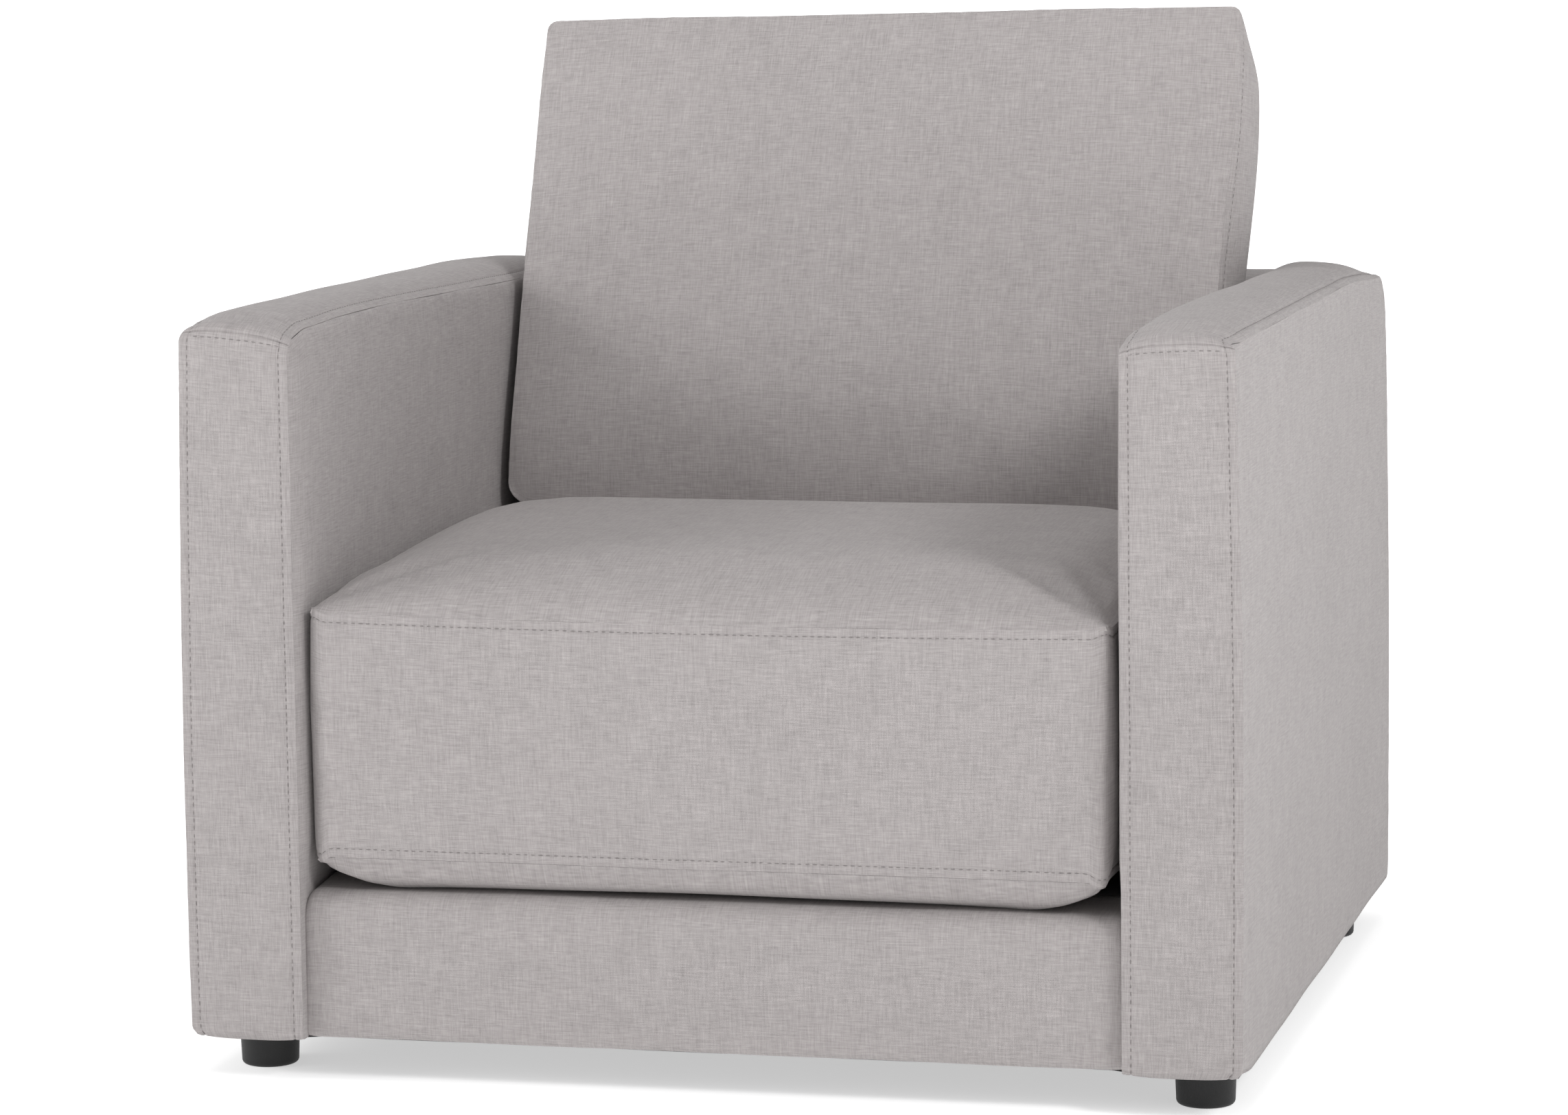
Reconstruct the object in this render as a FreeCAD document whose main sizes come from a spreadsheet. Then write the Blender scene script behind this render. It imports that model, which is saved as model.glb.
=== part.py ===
import FreeCAD, Part
import os
import re
import Sketcher

# Upholstered armchair with loose seat and back cushions.
# Frame: millimetres, +Z up, the chair faces -Y, +X is its left-hand side seen by a sitter.
# Origin: on the floor, under the centre of the chair's plan.

doc = FreeCAD.newDocument("Armchair")

# ---------------------------------------------------------------------------
# Driving dimensions
# ---------------------------------------------------------------------------

DIMENSIONS = [
    # overall
    ("chair_width", 900),
    ("chair_depth", 900),
    ("foot_height", 38),
    ("arm_width", 97),
    ("arm_height", 648),
    # cloth, foam and boards of the arms
    ("cover_cloth", 2),
    ("arm_rear_round", 70),
    ("arm_front_round", 8),
    ("arm_top_foam", 20),
    ("arm_end_foam", 10),
    ("arm_inner_foam", 23),
    ("arm_board", 5),
    ("outer_board", 10),
    ("board_wadding", 2),
    # timber
    ("board_thick", 25),
    ("top_rail_thick", 22),
    ("post_depth", 45),
    ("rear_post_depth", 60),
    ("rail_height", 110),
    ("block_leg", 60),
    ("block_lift", 20),
    # seat box
    ("front_recess", 12),
    ("front_foam", 8),
    ("edge_roll_depth", 33),
    ("front_edge_round", 15),
    ("deck_height", 171),
    ("deck_foam", 13),
    # springs
    ("wire_radius", 1.9),
    ("spring_count", 5),
    ("spring_pitch", 120),
    ("spring_width", 46),
    ("clip_length", 20),
    ("clip_depth", 16),
    ("clip_height", 6),
    ("clip_wall", 1),
    ("spring_rail_gap", 4),
    # fixed back
    ("back_foot", 222),
    ("back_lean", 13),
    ("back_height", 630),
    ("back_foam", 25),
    ("webbing_thick", 2),
    ("strap_width", 60),
    ("strap_count", 5),
    ("strap_pitch", 130),
    ("back_outer_board", 5),
    ("lower_rail_bottom", 190),
    ("lower_rail_height", 80),
    ("back_recess", 2),
    # seat cushion
    ("seat_half_width", 342),
    ("seat_front", 446),
    ("seat_top", 440),
    ("seat_round", 26),
    ("fibre_layer", 24),
    ("cushion_gap", 0.6),
    # back cushion
    ("back_cushion_half_width", 344),
    ("back_cushion_foot", 106),
    ("back_cushion_length", 482),
    ("back_cushion_front_lean", 21.5),
    ("back_cushion_rear_lean", 20),
    ("back_cushion_round", 14),
    # zips
    ("zip_half_length", 270),
    ("zip_tape_width", 24),
    ("zip_tape_thick", 2),
    ("zip_pocket", 6),
    ("zip_chain_width", 5),
    ("zip_chain_thick", 1),
    ("zip_seat_level", 300),
    ("zip_back_place", 185),
    ("slider_length", 12),
    ("slider_width", 9),
    ("slider_thick", 2.4),
    ("pull_length", 18),
    ("pull_width", 6),
    ("slider_inset", 25),
    # feet and fasteners
    ("foot_top_radius", 26),
    ("foot_floor_radius", 24.5),
    ("foot_round", 4),
    ("foot_bore_radius", 8),
    ("foot_bore_depth", 22),
    ("foot_front_place", 374),
    ("foot_rear_place", 340),
    ("screw_radius", 3),
    ("screw_head_radius", 6),
    ("screw_head_height", 4),
    ("screw_length", 62),
    ("screw_clearance", 0.3),
    ("bolt_radius", 4),
    ("bolt_clearance", 0.5),
    ("bolt_head_radius", 8),
    ("bolt_head_height", 6),
    ("bolt_length", 104),
    ("bolt_level", 95),
    ("bolt_front_place", 300),
    ("bolt_middle_place", 60),
    ("bolt_rear_place", 408),
    ("bolt_rear_level", 500),
    ("nut_radius", 5.5),
    ("nut_length", 18),
    ("nut_flange_radius", 11),
    ("nut_flange_thick", 1.5),
    ("nut_slip", 0.05),
    # how far shapes run into each other where they are joined or cut
    ("joint_overlap", 1),
]

sheet = doc.addObject("Spreadsheet::Sheet", "Dims")
for line, (alias, value) in enumerate(DIMENSIONS, start=1):
    sheet.set("A%d" % line, alias)
    sheet.set("B%d" % line, str(value))
    sheet.setAlias("B%d" % line, alias)
doc.recompute()
SIZE = dict(DIMENSIONS)


def formula(text):
    """The text as an expression on the sheet: each dimension's name gets the sheet's prefix."""
    return re.sub(r"[a-z]+(?:_[a-z]+)+", lambda found: "Dims." + found.group(0), str(text))


def bind(item, prop, text):
    item.setExpression(prop, formula(text))


# ---------------------------------------------------------------------------
# Levels and faces, as formulas on the sheet
# ---------------------------------------------------------------------------

FRONT = "(-chair_depth / 2)"
REAR = "(chair_depth / 2)"
BASE = "foot_height"
TIMBER_BASE = "(foot_height + cover_cloth)"
RAIL_TOP = "(foot_height + cover_cloth + rail_height)"

# across an arm, from its inner face to its outer face
ARM_INNER = "(chair_width / 2 - arm_width)"
ARM_LINING = "(chair_width / 2 - arm_width + cover_cloth)"
ARM_FOAM_BACK = "(chair_width / 2 - arm_width + cover_cloth + arm_inner_foam)"
ARM_TIMBER_IN = "(chair_width / 2 - arm_width + cover_cloth + arm_inner_foam + arm_board)"
ARM_TIMBER_OUT = "(chair_width / 2 - cover_cloth - outer_board)"
ARM_SHEET_OUT = "(chair_width / 2 - cover_cloth - board_wadding)"
ARM_COVER_IN = "(chair_width / 2 - cover_cloth)"
ARM_OUTER = "(chair_width / 2)"

# along an arm
TIMBER_FRONT = "(-chair_depth / 2 + cover_cloth + arm_end_foam)"
TIMBER_REAR = "(chair_depth / 2 - cover_cloth - arm_end_foam)"
TIMBER_TOP = "(arm_height - cover_cloth - arm_top_foam)"
REAR_POST_FRONT = "(chair_depth / 2 - cover_cloth - arm_end_foam - rear_post_depth)"

# seat box
BOX_FACE = "(-chair_depth / 2 + front_recess)"
BOX_FOAM = "(-chair_depth / 2 + front_recess + cover_cloth)"
BOX_TIMBER = "(-chair_depth / 2 + front_recess + cover_cloth + front_foam)"
BOX_TIMBER_BACK = "(-chair_depth / 2 + front_recess + cover_cloth + front_foam + board_thick)"
ROLL_BACK = "(-chair_depth / 2 + front_recess + cover_cloth + front_foam + edge_roll_depth)"
SIDE_RAIL_IN = "(chair_width / 2 - arm_width - board_thick)"
DECK_CLOTH = "(deck_height - cover_cloth)"
DECK_BASE = "(deck_height - cover_cloth - deck_foam)"

# fixed back
BACK_FACE_OUT = "(chair_depth / 2 - back_recess)"
BACK_BOARD_OUT = "(chair_depth / 2 - back_recess - cover_cloth)"
BACK_BOARD_IN = "(chair_depth / 2 - back_recess - cover_cloth - back_outer_board)"
BACK_TIMBER_TOP = "(back_height - cover_cloth - arm_top_foam)"
BACK_LINING = "(back_height - cover_cloth)"
STRAP_DEPTH = "(cover_cloth + back_foam)"
BACK_TIMBER_DEPTH = "(cover_cloth + back_foam + webbing_thick)"


def leaning(level, depth="0"):
    """Y of the fixed back's inner face at a level, moved back by a depth measured square to it."""
    run = "(%s - deck_height) * tan(back_lean * 1 deg)" % level
    return "(back_foot + %s + (%s) / cos(back_lean * 1 deg))" % (run, depth)


# ---------------------------------------------------------------------------
# Makers
# ---------------------------------------------------------------------------

NODES = []
TOUCHING = 0.01


def node(item, label):
    """Names a finished sub-part and keeps it for the checks and the export."""
    item.Label = label
    NODES.append(item)
    return item


def mirrored(side, low, high):
    """An X range on the +X side of the chair, or its mirror image where side is -1."""
    return (low, high) if side > 0 else ("-%s" % high, "-%s" % low)


def block(across, along, up):
    """A box between two formulas on each axis."""
    made = doc.addObject("Part::Box", "Block")
    extents = zip(("Length", "Width", "Height"), ("x", "y", "z"), (across, along, up))
    for prop, place, (low, high) in extents:
        bind(made, prop, "(%s) - (%s)" % (high, low))
        bind(made, "Placement.Base.%s" % place, low)
    return made


def rod(across, y, z, radius):
    """A round bar along X between two formulas."""
    made = doc.addObject("Part::Cylinder", "Rod")
    turn = FreeCAD.Rotation(FreeCAD.Vector(0, 1, 0), 90)
    made.Placement = FreeCAD.Placement(FreeCAD.Vector(), turn)
    bind(made, "Radius", radius)
    bind(made, "Height", "(%s) - (%s)" % (across[1], across[0]))
    for place, text in zip("xyz", (across[0], y, z)):
        bind(made, "Placement.Base.%s" % place, text)
    return made


def pin(x, y, up, radius):
    """A round bar along Z between two formulas."""
    made = doc.addObject("Part::Cylinder", "Pin")
    bind(made, "Radius", radius)
    bind(made, "Height", "(%s) - (%s)" % (up[1], up[0]))
    for place, text in zip("xyz", (x, y, up[0])):
        bind(made, "Placement.Base.%s" % place, text)
    return made


def minus(base, *tools):
    for tool in tools:
        cut = doc.addObject("Part::Cut", "Cut")
        cut.Base = base
        cut.Tool = tool
        base = cut
    return base


def common(first, second):
    made = doc.addObject("Part::Common", "Common")
    made.Base = first
    made.Tool = second
    return made


def joined(*shapes):
    made = doc.addObject("Part::MultiFuse", "Joined")
    made.Shapes = list(shapes)
    return made


def group(shapes):
    """Several separate solids held in one sub-part."""
    made = doc.addObject("Part::Compound", "Group")
    made.Links = list(shapes)
    return made


def outline_sketch(body, plane, offset, corners):
    """A closed outline whose corners are pinned to formulas, on one of the body's own planes."""
    sketch = body.newObject("Sketcher::SketchObject", "Outline")
    support = [face for face in body.Origin.OriginFeatures if face.Role == plane][0]
    sketch.AttachmentSupport = [(support, "")]
    sketch.MapMode = "FlatFace"
    bind(sketch, "AttachmentOffset.Base.z", offset)
    count = len(corners)
    ring = [FreeCAD.Vector(10, 0, 0), FreeCAD.Vector(0, 10, 0), FreeCAD.Vector(-10, 0, 0)]
    ring = (ring + [FreeCAD.Vector(-10 + 2 * k, -10 - k, 0) for k in range(count)])[:count]
    for k in range(count):
        sketch.addGeometry(Part.LineSegment(ring[k], ring[(k + 1) % count]))
    for k in range(count):
        sketch.addConstraint(Sketcher.Constraint("Coincident", k, 2, (k + 1) % count, 1))
    for k, corner in enumerate(corners):
        for kind, text in zip(("DistanceX", "DistanceY"), corner):
            made = sketch.addConstraint(Sketcher.Constraint(kind, -1, 1, k, 1, 1.0))
            bind(sketch, "Constraints[%d]" % made, text)
    return sketch


def prism(across, corners):
    """A body padded along X from an outline of (y, z) corners."""
    body = doc.addObject("PartDesign::Body", "Prism")
    sketch = outline_sketch(body, "YZ_Plane", across[0], corners)
    pad = body.newObject("PartDesign::Pad", "Pad")
    pad.Profile = sketch
    bind(pad, "Length", "(%s) - (%s)" % (across[1], across[0]))
    return body


def soften(body, radius):
    """Rounds every edge of a body's pad."""
    doc.recompute()
    pad = body.Tip
    fillet = body.newObject("PartDesign::Fillet", "Round")
    fillet.Base = (pad, ["Edge%d" % (k + 1) for k in range(len(pad.Shape.Edges))])
    bind(fillet, "Radius", radius)
    body.Tip = fillet
    return body


def round_edges(item, rounds):
    """Rounds the edges along X that lie at given (y, z) places; a radius under zero stays sharp."""
    doc.recompute()
    chosen = []
    for k, edge in enumerate(item.Shape.Edges):
        for y, z, radius in rounds:
            ends = [vertex.Point for vertex in edge.Vertexes]
            here = all(abs(end.y - y) < TOUCHING and abs(end.z - z) < TOUCHING for end in ends)
            if here and radius > 0:
                chosen.append((k + 1, radius, radius))
    made = doc.addObject("Part::Fillet", "Rounded")
    made.Base = item
    made.Edges = chosen
    return made


# ---------------------------------------------------------------------------
# Arms
# ---------------------------------------------------------------------------


def arm_slab(across, end_inset, top_inset, bottom):
    """A slab with the arm's side outline, drawn in by the insets: its rear top corner is round."""
    low = "(%s + %s)" % (FRONT, end_inset)
    high = "(%s - %s)" % (REAR, end_inset)
    slab = block(across, (low, high), (bottom, "arm_height - %s" % top_inset))
    doc.recompute()
    box = slab.Shape.BoundBox
    inset = SIZE["chair_depth"] / 2 - box.YMax
    corners = [
        (box.YMax, box.ZMax, SIZE["arm_rear_round"] - inset),
        (box.YMin, box.ZMax, SIZE["arm_front_round"] - inset),
    ]
    return round_edges(slab, corners)


CORE_ENDS = "(cover_cloth + arm_end_foam)"
CORE_TOP = "(cover_cloth + arm_top_foam)"


def bolt_drill(side):
    """Stepped holes for one side's three bolts and the tee nuts that they turn into."""
    tools = []
    for y, z in BOLT_PLACES:
        shank = mirrored(side, SIDE_RAIL_IN, ARM_TIMBER_OUT)
        barrel = mirrored(side, "(%s - nut_length - nut_flange_thick)" % ARM_TIMBER_OUT, ARM_TIMBER_OUT)
        flange = mirrored(side, "(%s - nut_flange_thick)" % ARM_TIMBER_OUT, ARM_TIMBER_OUT)
        tools.append(rod(shank, y, z, "bolt_radius + bolt_clearance"))
        tools.append(rod(barrel, y, z, "nut_radius"))
        tools.append(rod(flange, y, z, "nut_flange_radius"))
    return joined(*tools)


BOLT_PLACES = [
    ("-bolt_front_place", "bolt_level"),
    ("bolt_middle_place", "bolt_level"),
    ("bolt_rear_place", "bolt_rear_level"),
]
FOOT_PLACES = [("front", "(-foot_front_place)"), ("rear", "(foot_rear_place)")]
FOOT_ACROSS = "((chair_width - cover_cloth - outer_board - arm_width + arm_inner_foam + arm_board) / 2)"
SIDES = [("left", 1), ("right", -1)]


def screw_drill(side, radius):
    """Pilot holes for one side's two foot screws."""
    x = FOOT_ACROSS if side > 0 else "-%s" % FOOT_ACROSS
    top = "(foot_bore_depth + screw_length)"
    return joined(*[pin(x, y, ("0", top), radius) for _, y in FOOT_PLACES])


def make_arm(name, side):
    """One arm: timber frame, boards, foam and the three sewn cover panels."""
    drill = bolt_drill(side)
    lining = mirrored(side, ARM_LINING, ARM_COVER_IN)
    timber = mirrored(side, ARM_TIMBER_IN, ARM_TIMBER_OUT)

    outer = arm_slab(mirrored(side, ARM_COVER_IN, ARM_OUTER), "0", "0", BASE)
    node(outer, name + "_arm_outer_cover")

    inner = arm_slab(mirrored(side, ARM_INNER, ARM_LINING), "0", "0", TIMBER_BASE)
    node(minus(inner, drill), name + "_arm_inner_cover")

    strip = arm_slab(lining, "0", "0", BASE)
    hollow = arm_slab(lining, "cover_cloth", "cover_cloth", BASE)
    node(minus(strip, hollow), name + "_arm_boxing")

    padded = arm_slab(lining, "cover_cloth", "cover_cloth", TIMBER_BASE)
    core = arm_slab(lining, CORE_ENDS, CORE_TOP, TIMBER_BASE)
    node(minus(padded, core), name + "_arm_edge_foam")

    foam = arm_slab(mirrored(side, ARM_LINING, ARM_FOAM_BACK), CORE_ENDS, CORE_TOP, TIMBER_BASE)
    node(minus(foam, drill), name + "_arm_inner_foam")

    board = arm_slab(mirrored(side, ARM_FOAM_BACK, ARM_TIMBER_IN), CORE_ENDS, CORE_TOP, TIMBER_BASE)
    node(minus(board, drill), name + "_arm_inner_board")

    sheeting = mirrored(side, ARM_TIMBER_OUT, ARM_SHEET_OUT)
    node(arm_slab(sheeting, CORE_ENDS, CORE_TOP, TIMBER_BASE), name + "_arm_outer_board")

    post_back = "(%s + post_depth)" % TIMBER_FRONT
    rail_under = "(%s - top_rail_thick)" % TIMBER_TOP
    front_post = block(timber, (TIMBER_FRONT, post_back), (TIMBER_BASE, rail_under))
    node(front_post, name + "_arm_front_post")

    full = arm_slab(timber, CORE_ENDS, CORE_TOP, TIMBER_BASE)
    rear_zone = block(timber, (REAR_POST_FRONT, TIMBER_REAR), (TIMBER_BASE, TIMBER_TOP))
    node(minus(common(full, rear_zone), drill), name + "_arm_rear_post")

    top_rail = block(timber, (TIMBER_FRONT, REAR_POST_FRONT), (rail_under, TIMBER_TOP))
    node(top_rail, name + "_arm_top_rail")

    bottom_rail = block(timber, (post_back, REAR_POST_FRONT), (TIMBER_BASE, RAIL_TOP))
    pilots = screw_drill(side, "screw_radius")
    node(minus(bottom_rail, drill, pilots), name + "_arm_bottom_rail")


for side_name, side_sign in SIDES:
    make_arm(side_name, side_sign)

# ---------------------------------------------------------------------------
# Seat box
# ---------------------------------------------------------------------------

BOX_WIDTH = ("-%s" % ARM_INNER, ARM_INNER)
BETWEEN_RAILS = ("-%s" % SIDE_RAIL_IN, SIDE_RAIL_IN)
SPRING_RAIL = ("(back_foot + spring_rail_gap)", "(back_foot + spring_rail_gap + board_thick)")
RAIL_UP = (TIMBER_BASE, RAIL_TOP)

node(block(BOX_WIDTH, (BOX_TIMBER, BOX_TIMBER_BACK), RAIL_UP), "front_seat_rail")
REAR_RAIL_FRONT = "(%s - board_thick)" % BACK_BOARD_OUT
node(block(BOX_WIDTH, (REAR_RAIL_FRONT, BACK_BOARD_OUT), RAIL_UP), "rear_base_rail")
node(block(BETWEEN_RAILS, SPRING_RAIL, RAIL_UP), "spring_rail")
for side_name, side_sign in SIDES:
    rail = block(mirrored(side_sign, SIDE_RAIL_IN, ARM_INNER), (BOX_TIMBER_BACK, REAR_RAIL_FRONT), RAIL_UP)
    node(minus(rail, bolt_drill(side_sign)), side_name + "_side_rail")


def corner_block(side, y, toward):
    """A three-cornered block in the angle between a side rail and a cross rail."""
    body = doc.addObject("PartDesign::Body", "Block")
    x = SIDE_RAIL_IN if side > 0 else "-%s" % SIDE_RAIL_IN
    inward = "(%s - %d * block_leg)" % (x, side)
    corners = [(x, y), (inward, y), (x, "(%s + %d * block_leg)" % (y, toward))]
    sketch = outline_sketch(body, "XY_Plane", "(%s + block_lift)" % TIMBER_BASE, corners)
    pad = body.newObject("PartDesign::Pad", "Pad")
    pad.Profile = sketch
    bind(pad, "Length", "block_leg")
    return body


blocks = []
for _, side_sign in SIDES:
    blocks.append(corner_block(side_sign, BOX_TIMBER_BACK, 1))
    blocks.append(corner_block(side_sign, REAR_RAIL_FRONT, -1))
node(group(blocks), "corner_blocks")


def edge_strip(inset, bottom):
    """The front rail's padded outline: a block with a rounded front top edge."""
    front = "(%s + %s)" % (BOX_FACE, inset)
    top = "(deck_height - %s)" % inset
    strip = block(BOX_WIDTH, (front, ROLL_BACK), (bottom, top))
    doc.recompute()
    box = strip.Shape.BoundBox
    radius = SIZE["front_edge_round"] - (SIZE["deck_height"] - box.ZMax)
    return round_edges(strip, [(box.YMin, box.ZMax, radius)])


node(minus(edge_strip("0", BASE), edge_strip("cover_cloth", BASE)), "front_rail_cover")
clip_space = block(BOX_WIDTH, (BOX_TIMBER, ROLL_BACK), (TIMBER_BASE, DECK_BASE))
node(minus(edge_strip("cover_cloth", TIMBER_BASE), clip_space), "front_rail_foam")

DECK_ALONG = (ROLL_BACK, "back_foot")
node(block(BOX_WIDTH, DECK_ALONG, (DECK_BASE, DECK_CLOTH)), "deck_foam")
node(block(BOX_WIDTH, DECK_ALONG, (DECK_CLOTH, "deck_height")), "deck_cloth")

UNDERSIDE = ("-%s" % ARM_COVER_IN, ARM_COVER_IN)
underside = block(UNDERSIDE, (BOX_FOAM, BACK_BOARD_OUT), (BASE, TIMBER_BASE))
holes = [screw_drill(side_sign, "screw_radius + screw_clearance") for _, side_sign in SIDES]
node(minus(underside, *holes), "dust_cover")

# ---------------------------------------------------------------------------
# Seat springs
# ---------------------------------------------------------------------------

SPRING_LEVEL = "(%s + clip_height / 2)" % RAIL_TOP
FRONT_CLIP = "(%s - clip_depth)" % BOX_TIMBER_BACK
REAR_CLIP = "(back_foot + spring_rail_gap)"


def cell(text):
    """The value of a formula on the sheet, for shapes that code has to lay out."""
    probe = doc.addObject("App::FeaturePython", "Probe")
    probe.addProperty("App::PropertyFloat", "Result")
    bind(probe, "Result", text)
    doc.recompute()
    value = probe.Result
    doc.removeObject(probe.Name)
    return value


def sinuous_spring(x):
    """A zigzag wire in a level plane: straight runs across, joined by half circles."""
    radius = SIZE["wire_radius"]
    level = cell(SPRING_LEVEL)
    start = cell(FRONT_CLIP) + SIZE["clip_depth"] / 2
    end = cell(REAR_CLIP) + SIZE["clip_depth"] / 2
    half = SIZE["spring_width"] / 2
    turns = 2 * round((end - start) / (half * 2))
    pitch = (end - start) / turns
    straight = half - pitch / 2
    edges = []
    for k in range(turns + 1):
        y = start + k * pitch
        way = 1 if k % 2 == 0 else -1
        tail = FreeCAD.Vector(x - way * straight, y, level)
        head = FreeCAD.Vector(x + way * straight, y, level)
        edges.append(Part.LineSegment(tail, head).toShape())
        if k < turns:
            crest = FreeCAD.Vector(x + way * (straight + pitch / 2), y + pitch / 2, level)
            after = FreeCAD.Vector(x + way * straight, y + pitch, level)
            edges.append(Part.Arc(head, crest, after).toShape())
    path = Part.Wire(edges)
    first = FreeCAD.Vector(x - straight, start, level)
    ring = Part.Wire(Part.Circle(first, FreeCAD.Vector(1, 0, 0), radius).toShape())
    return path.makePipeShell([ring], True, False)


def row(count, pitch):
    """Evenly spaced places about the centre line."""
    return [(k - (count - 1) / 2) * pitch for k in range(count)]


SPRING_ROW = row(SIZE["spring_count"], SIZE["spring_pitch"])
springs = doc.addObject("Part::Feature", "Springs")
springs.Shape = Part.makeCompound([sinuous_spring(x) for x in SPRING_ROW])
springs.Placement = FreeCAD.Placement()
node(springs, "seat_springs")


def spring_clip(x, y, opening):
    """A clip folded round the end run of a spring, open towards the seat."""
    left = "(%s - clip_length / 2)" % x
    right = "(%s + clip_length / 2)" % x
    back = "(%s + clip_depth)" % y
    top = "(%s + clip_height)" % RAIL_TOP
    shell = block((left, right), (y, back), (RAIL_TOP, top))
    slot_up = ("(%s + clip_wall)" % RAIL_TOP, "(%s - clip_wall)" % top)
    slot_from = "(%s + clip_wall)" % y if opening > 0 else y
    slot_to = back if opening > 0 else "(%s - clip_wall)" % back
    return minus(shell, block((left, right), (slot_from, slot_to), slot_up))


clips = []
for k in range(SIZE["spring_count"]):
    x = "((%d - (spring_count - 1) / 2) * spring_pitch)" % k
    clips.append(spring_clip(x, FRONT_CLIP, 1))
    clips.append(spring_clip(x, REAR_CLIP, -1))
node(group(clips), "spring_clips")

# ---------------------------------------------------------------------------
# Fixed back
# ---------------------------------------------------------------------------


def leaning_layer(across, near, far, bottom, top):
    """A layer parallel to the back's inner face, cut level at its bottom and top."""
    corners = [
        (leaning(bottom, near), bottom),
        (leaning(bottom, far), bottom),
        (leaning(top, far), top),
        (leaning(top, near), top),
    ]
    return prism(across, corners)


def back_panel(across):
    """A plywood side of the back: leaning at the front, upright at the rear."""
    corners = [
        (leaning(RAIL_TOP, BACK_TIMBER_DEPTH), RAIL_TOP),
        (BACK_BOARD_IN, RAIL_TOP),
        (BACK_BOARD_IN, BACK_TIMBER_TOP),
        (leaning(BACK_TIMBER_TOP, BACK_TIMBER_DEPTH), BACK_TIMBER_TOP),
    ]
    return prism(across, corners)


for side_name, side_sign in SIDES:
    panel = back_panel(mirrored(side_sign, SIDE_RAIL_IN, ARM_INNER))
    node(minus(panel, bolt_drill(side_sign)), side_name + "_back_panel")

rail_bottom = "(%s - top_rail_thick)" % BACK_TIMBER_TOP
top_rail_corners = [
    (leaning(rail_bottom, BACK_TIMBER_DEPTH), rail_bottom),
    (BACK_BOARD_IN, rail_bottom),
    (BACK_BOARD_IN, BACK_TIMBER_TOP),
    (leaning(BACK_TIMBER_TOP, BACK_TIMBER_DEPTH), BACK_TIMBER_TOP),
]
node(prism(BETWEEN_RAILS, top_rail_corners), "back_top_rail")

lower_rail_top = "(lower_rail_bottom + lower_rail_height)"
lower_rail_back = "(%s + board_thick)" % BACK_TIMBER_DEPTH
lower_rail = leaning_layer(
    BETWEEN_RAILS, BACK_TIMBER_DEPTH, lower_rail_back, "lower_rail_bottom", lower_rail_top
)
node(lower_rail, "back_lower_rail")

straps = []
for k in range(SIZE["strap_count"]):
    x = "((%d - (strap_count - 1) / 2) * strap_pitch)" % k
    across = ("(%s - strap_width / 2)" % x, "(%s + strap_width / 2)" % x)
    straps.append(
        leaning_layer(across, STRAP_DEPTH, BACK_TIMBER_DEPTH, "lower_rail_bottom", BACK_TIMBER_TOP)
    )
node(group(straps), "back_webbing")

foam_corners = [
    (leaning("deck_height", "cover_cloth"), "deck_height"),
    (leaning("deck_height", STRAP_DEPTH), "deck_height"),
    (leaning(BACK_TIMBER_TOP, STRAP_DEPTH), BACK_TIMBER_TOP),
    (BACK_BOARD_OUT, BACK_TIMBER_TOP),
    (BACK_BOARD_OUT, BACK_LINING),
    (leaning(BACK_LINING, "cover_cloth"), BACK_LINING),
]
node(prism(BOX_WIDTH, foam_corners), "back_foam")

inner_cover_corners = [
    (leaning("deck_height"), "deck_height"),
    (leaning("deck_height", "cover_cloth"), "deck_height"),
    (leaning(BACK_LINING, "cover_cloth"), BACK_LINING),
    (BACK_FACE_OUT, BACK_LINING),
    (BACK_FACE_OUT, "back_height"),
    (leaning("back_height"), "back_height"),
]
node(prism(BOX_WIDTH, inner_cover_corners), "back_inner_cover")

outer_board = block(BOX_WIDTH, (BACK_BOARD_IN, BACK_BOARD_OUT), (RAIL_TOP, BACK_TIMBER_TOP))
node(outer_board, "back_outer_board")
outer_cover = block(BOX_WIDTH, (BACK_BOARD_OUT, BACK_FACE_OUT), (BASE, BACK_LINING))
node(outer_cover, "back_outer_cover")

# ---------------------------------------------------------------------------
# Feet and fasteners
# ---------------------------------------------------------------------------


def make_foot(x, y):
    """A turned foot: tapered sides, a rounded lower edge and a screw bore from below."""
    body = doc.addObject("PartDesign::Body", "Foot")
    corners = [
        ("foot_bore_radius", "0"),
        ("foot_floor_radius", "0"),
        ("foot_top_radius", "foot_height"),
        ("(screw_radius + screw_clearance)", "foot_height"),
        ("(screw_radius + screw_clearance)", "foot_bore_depth"),
        ("foot_bore_radius", "foot_bore_depth"),
    ]
    sketch = outline_sketch(body, "XZ_Plane", "0", corners)
    turned = body.newObject("PartDesign::Revolution", "Turned")
    turned.Profile = sketch
    turned.ReferenceAxis = (sketch, ["V_Axis"])
    turned.Angle = 360
    doc.recompute()
    rim = []
    for k, edge in enumerate(turned.Shape.Edges):
        on_floor = edge.Closed and abs(edge.BoundBox.ZMax) < TOUCHING
        if on_floor and edge.BoundBox.XLength > 2 * SIZE["foot_bore_radius"] + TOUCHING:
            rim.append("Edge%d" % (k + 1))
    soft = body.newObject("PartDesign::Fillet", "LowerEdge")
    soft.Base = (turned, rim)
    bind(soft, "Radius", "foot_round")
    body.Tip = soft
    bind(body, "Placement.Base.x", x)
    bind(body, "Placement.Base.y", y)
    return body


def foot_screw(x, y):
    head_up = ("(foot_bore_depth - screw_head_height)", "foot_bore_depth")
    shank_up = ("(foot_bore_depth - joint_overlap)", "(foot_bore_depth + screw_length)")
    head = pin(x, y, head_up, "screw_head_radius")
    shank = pin(x, y, shank_up, "screw_radius")
    return joined(head, shank)


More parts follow.
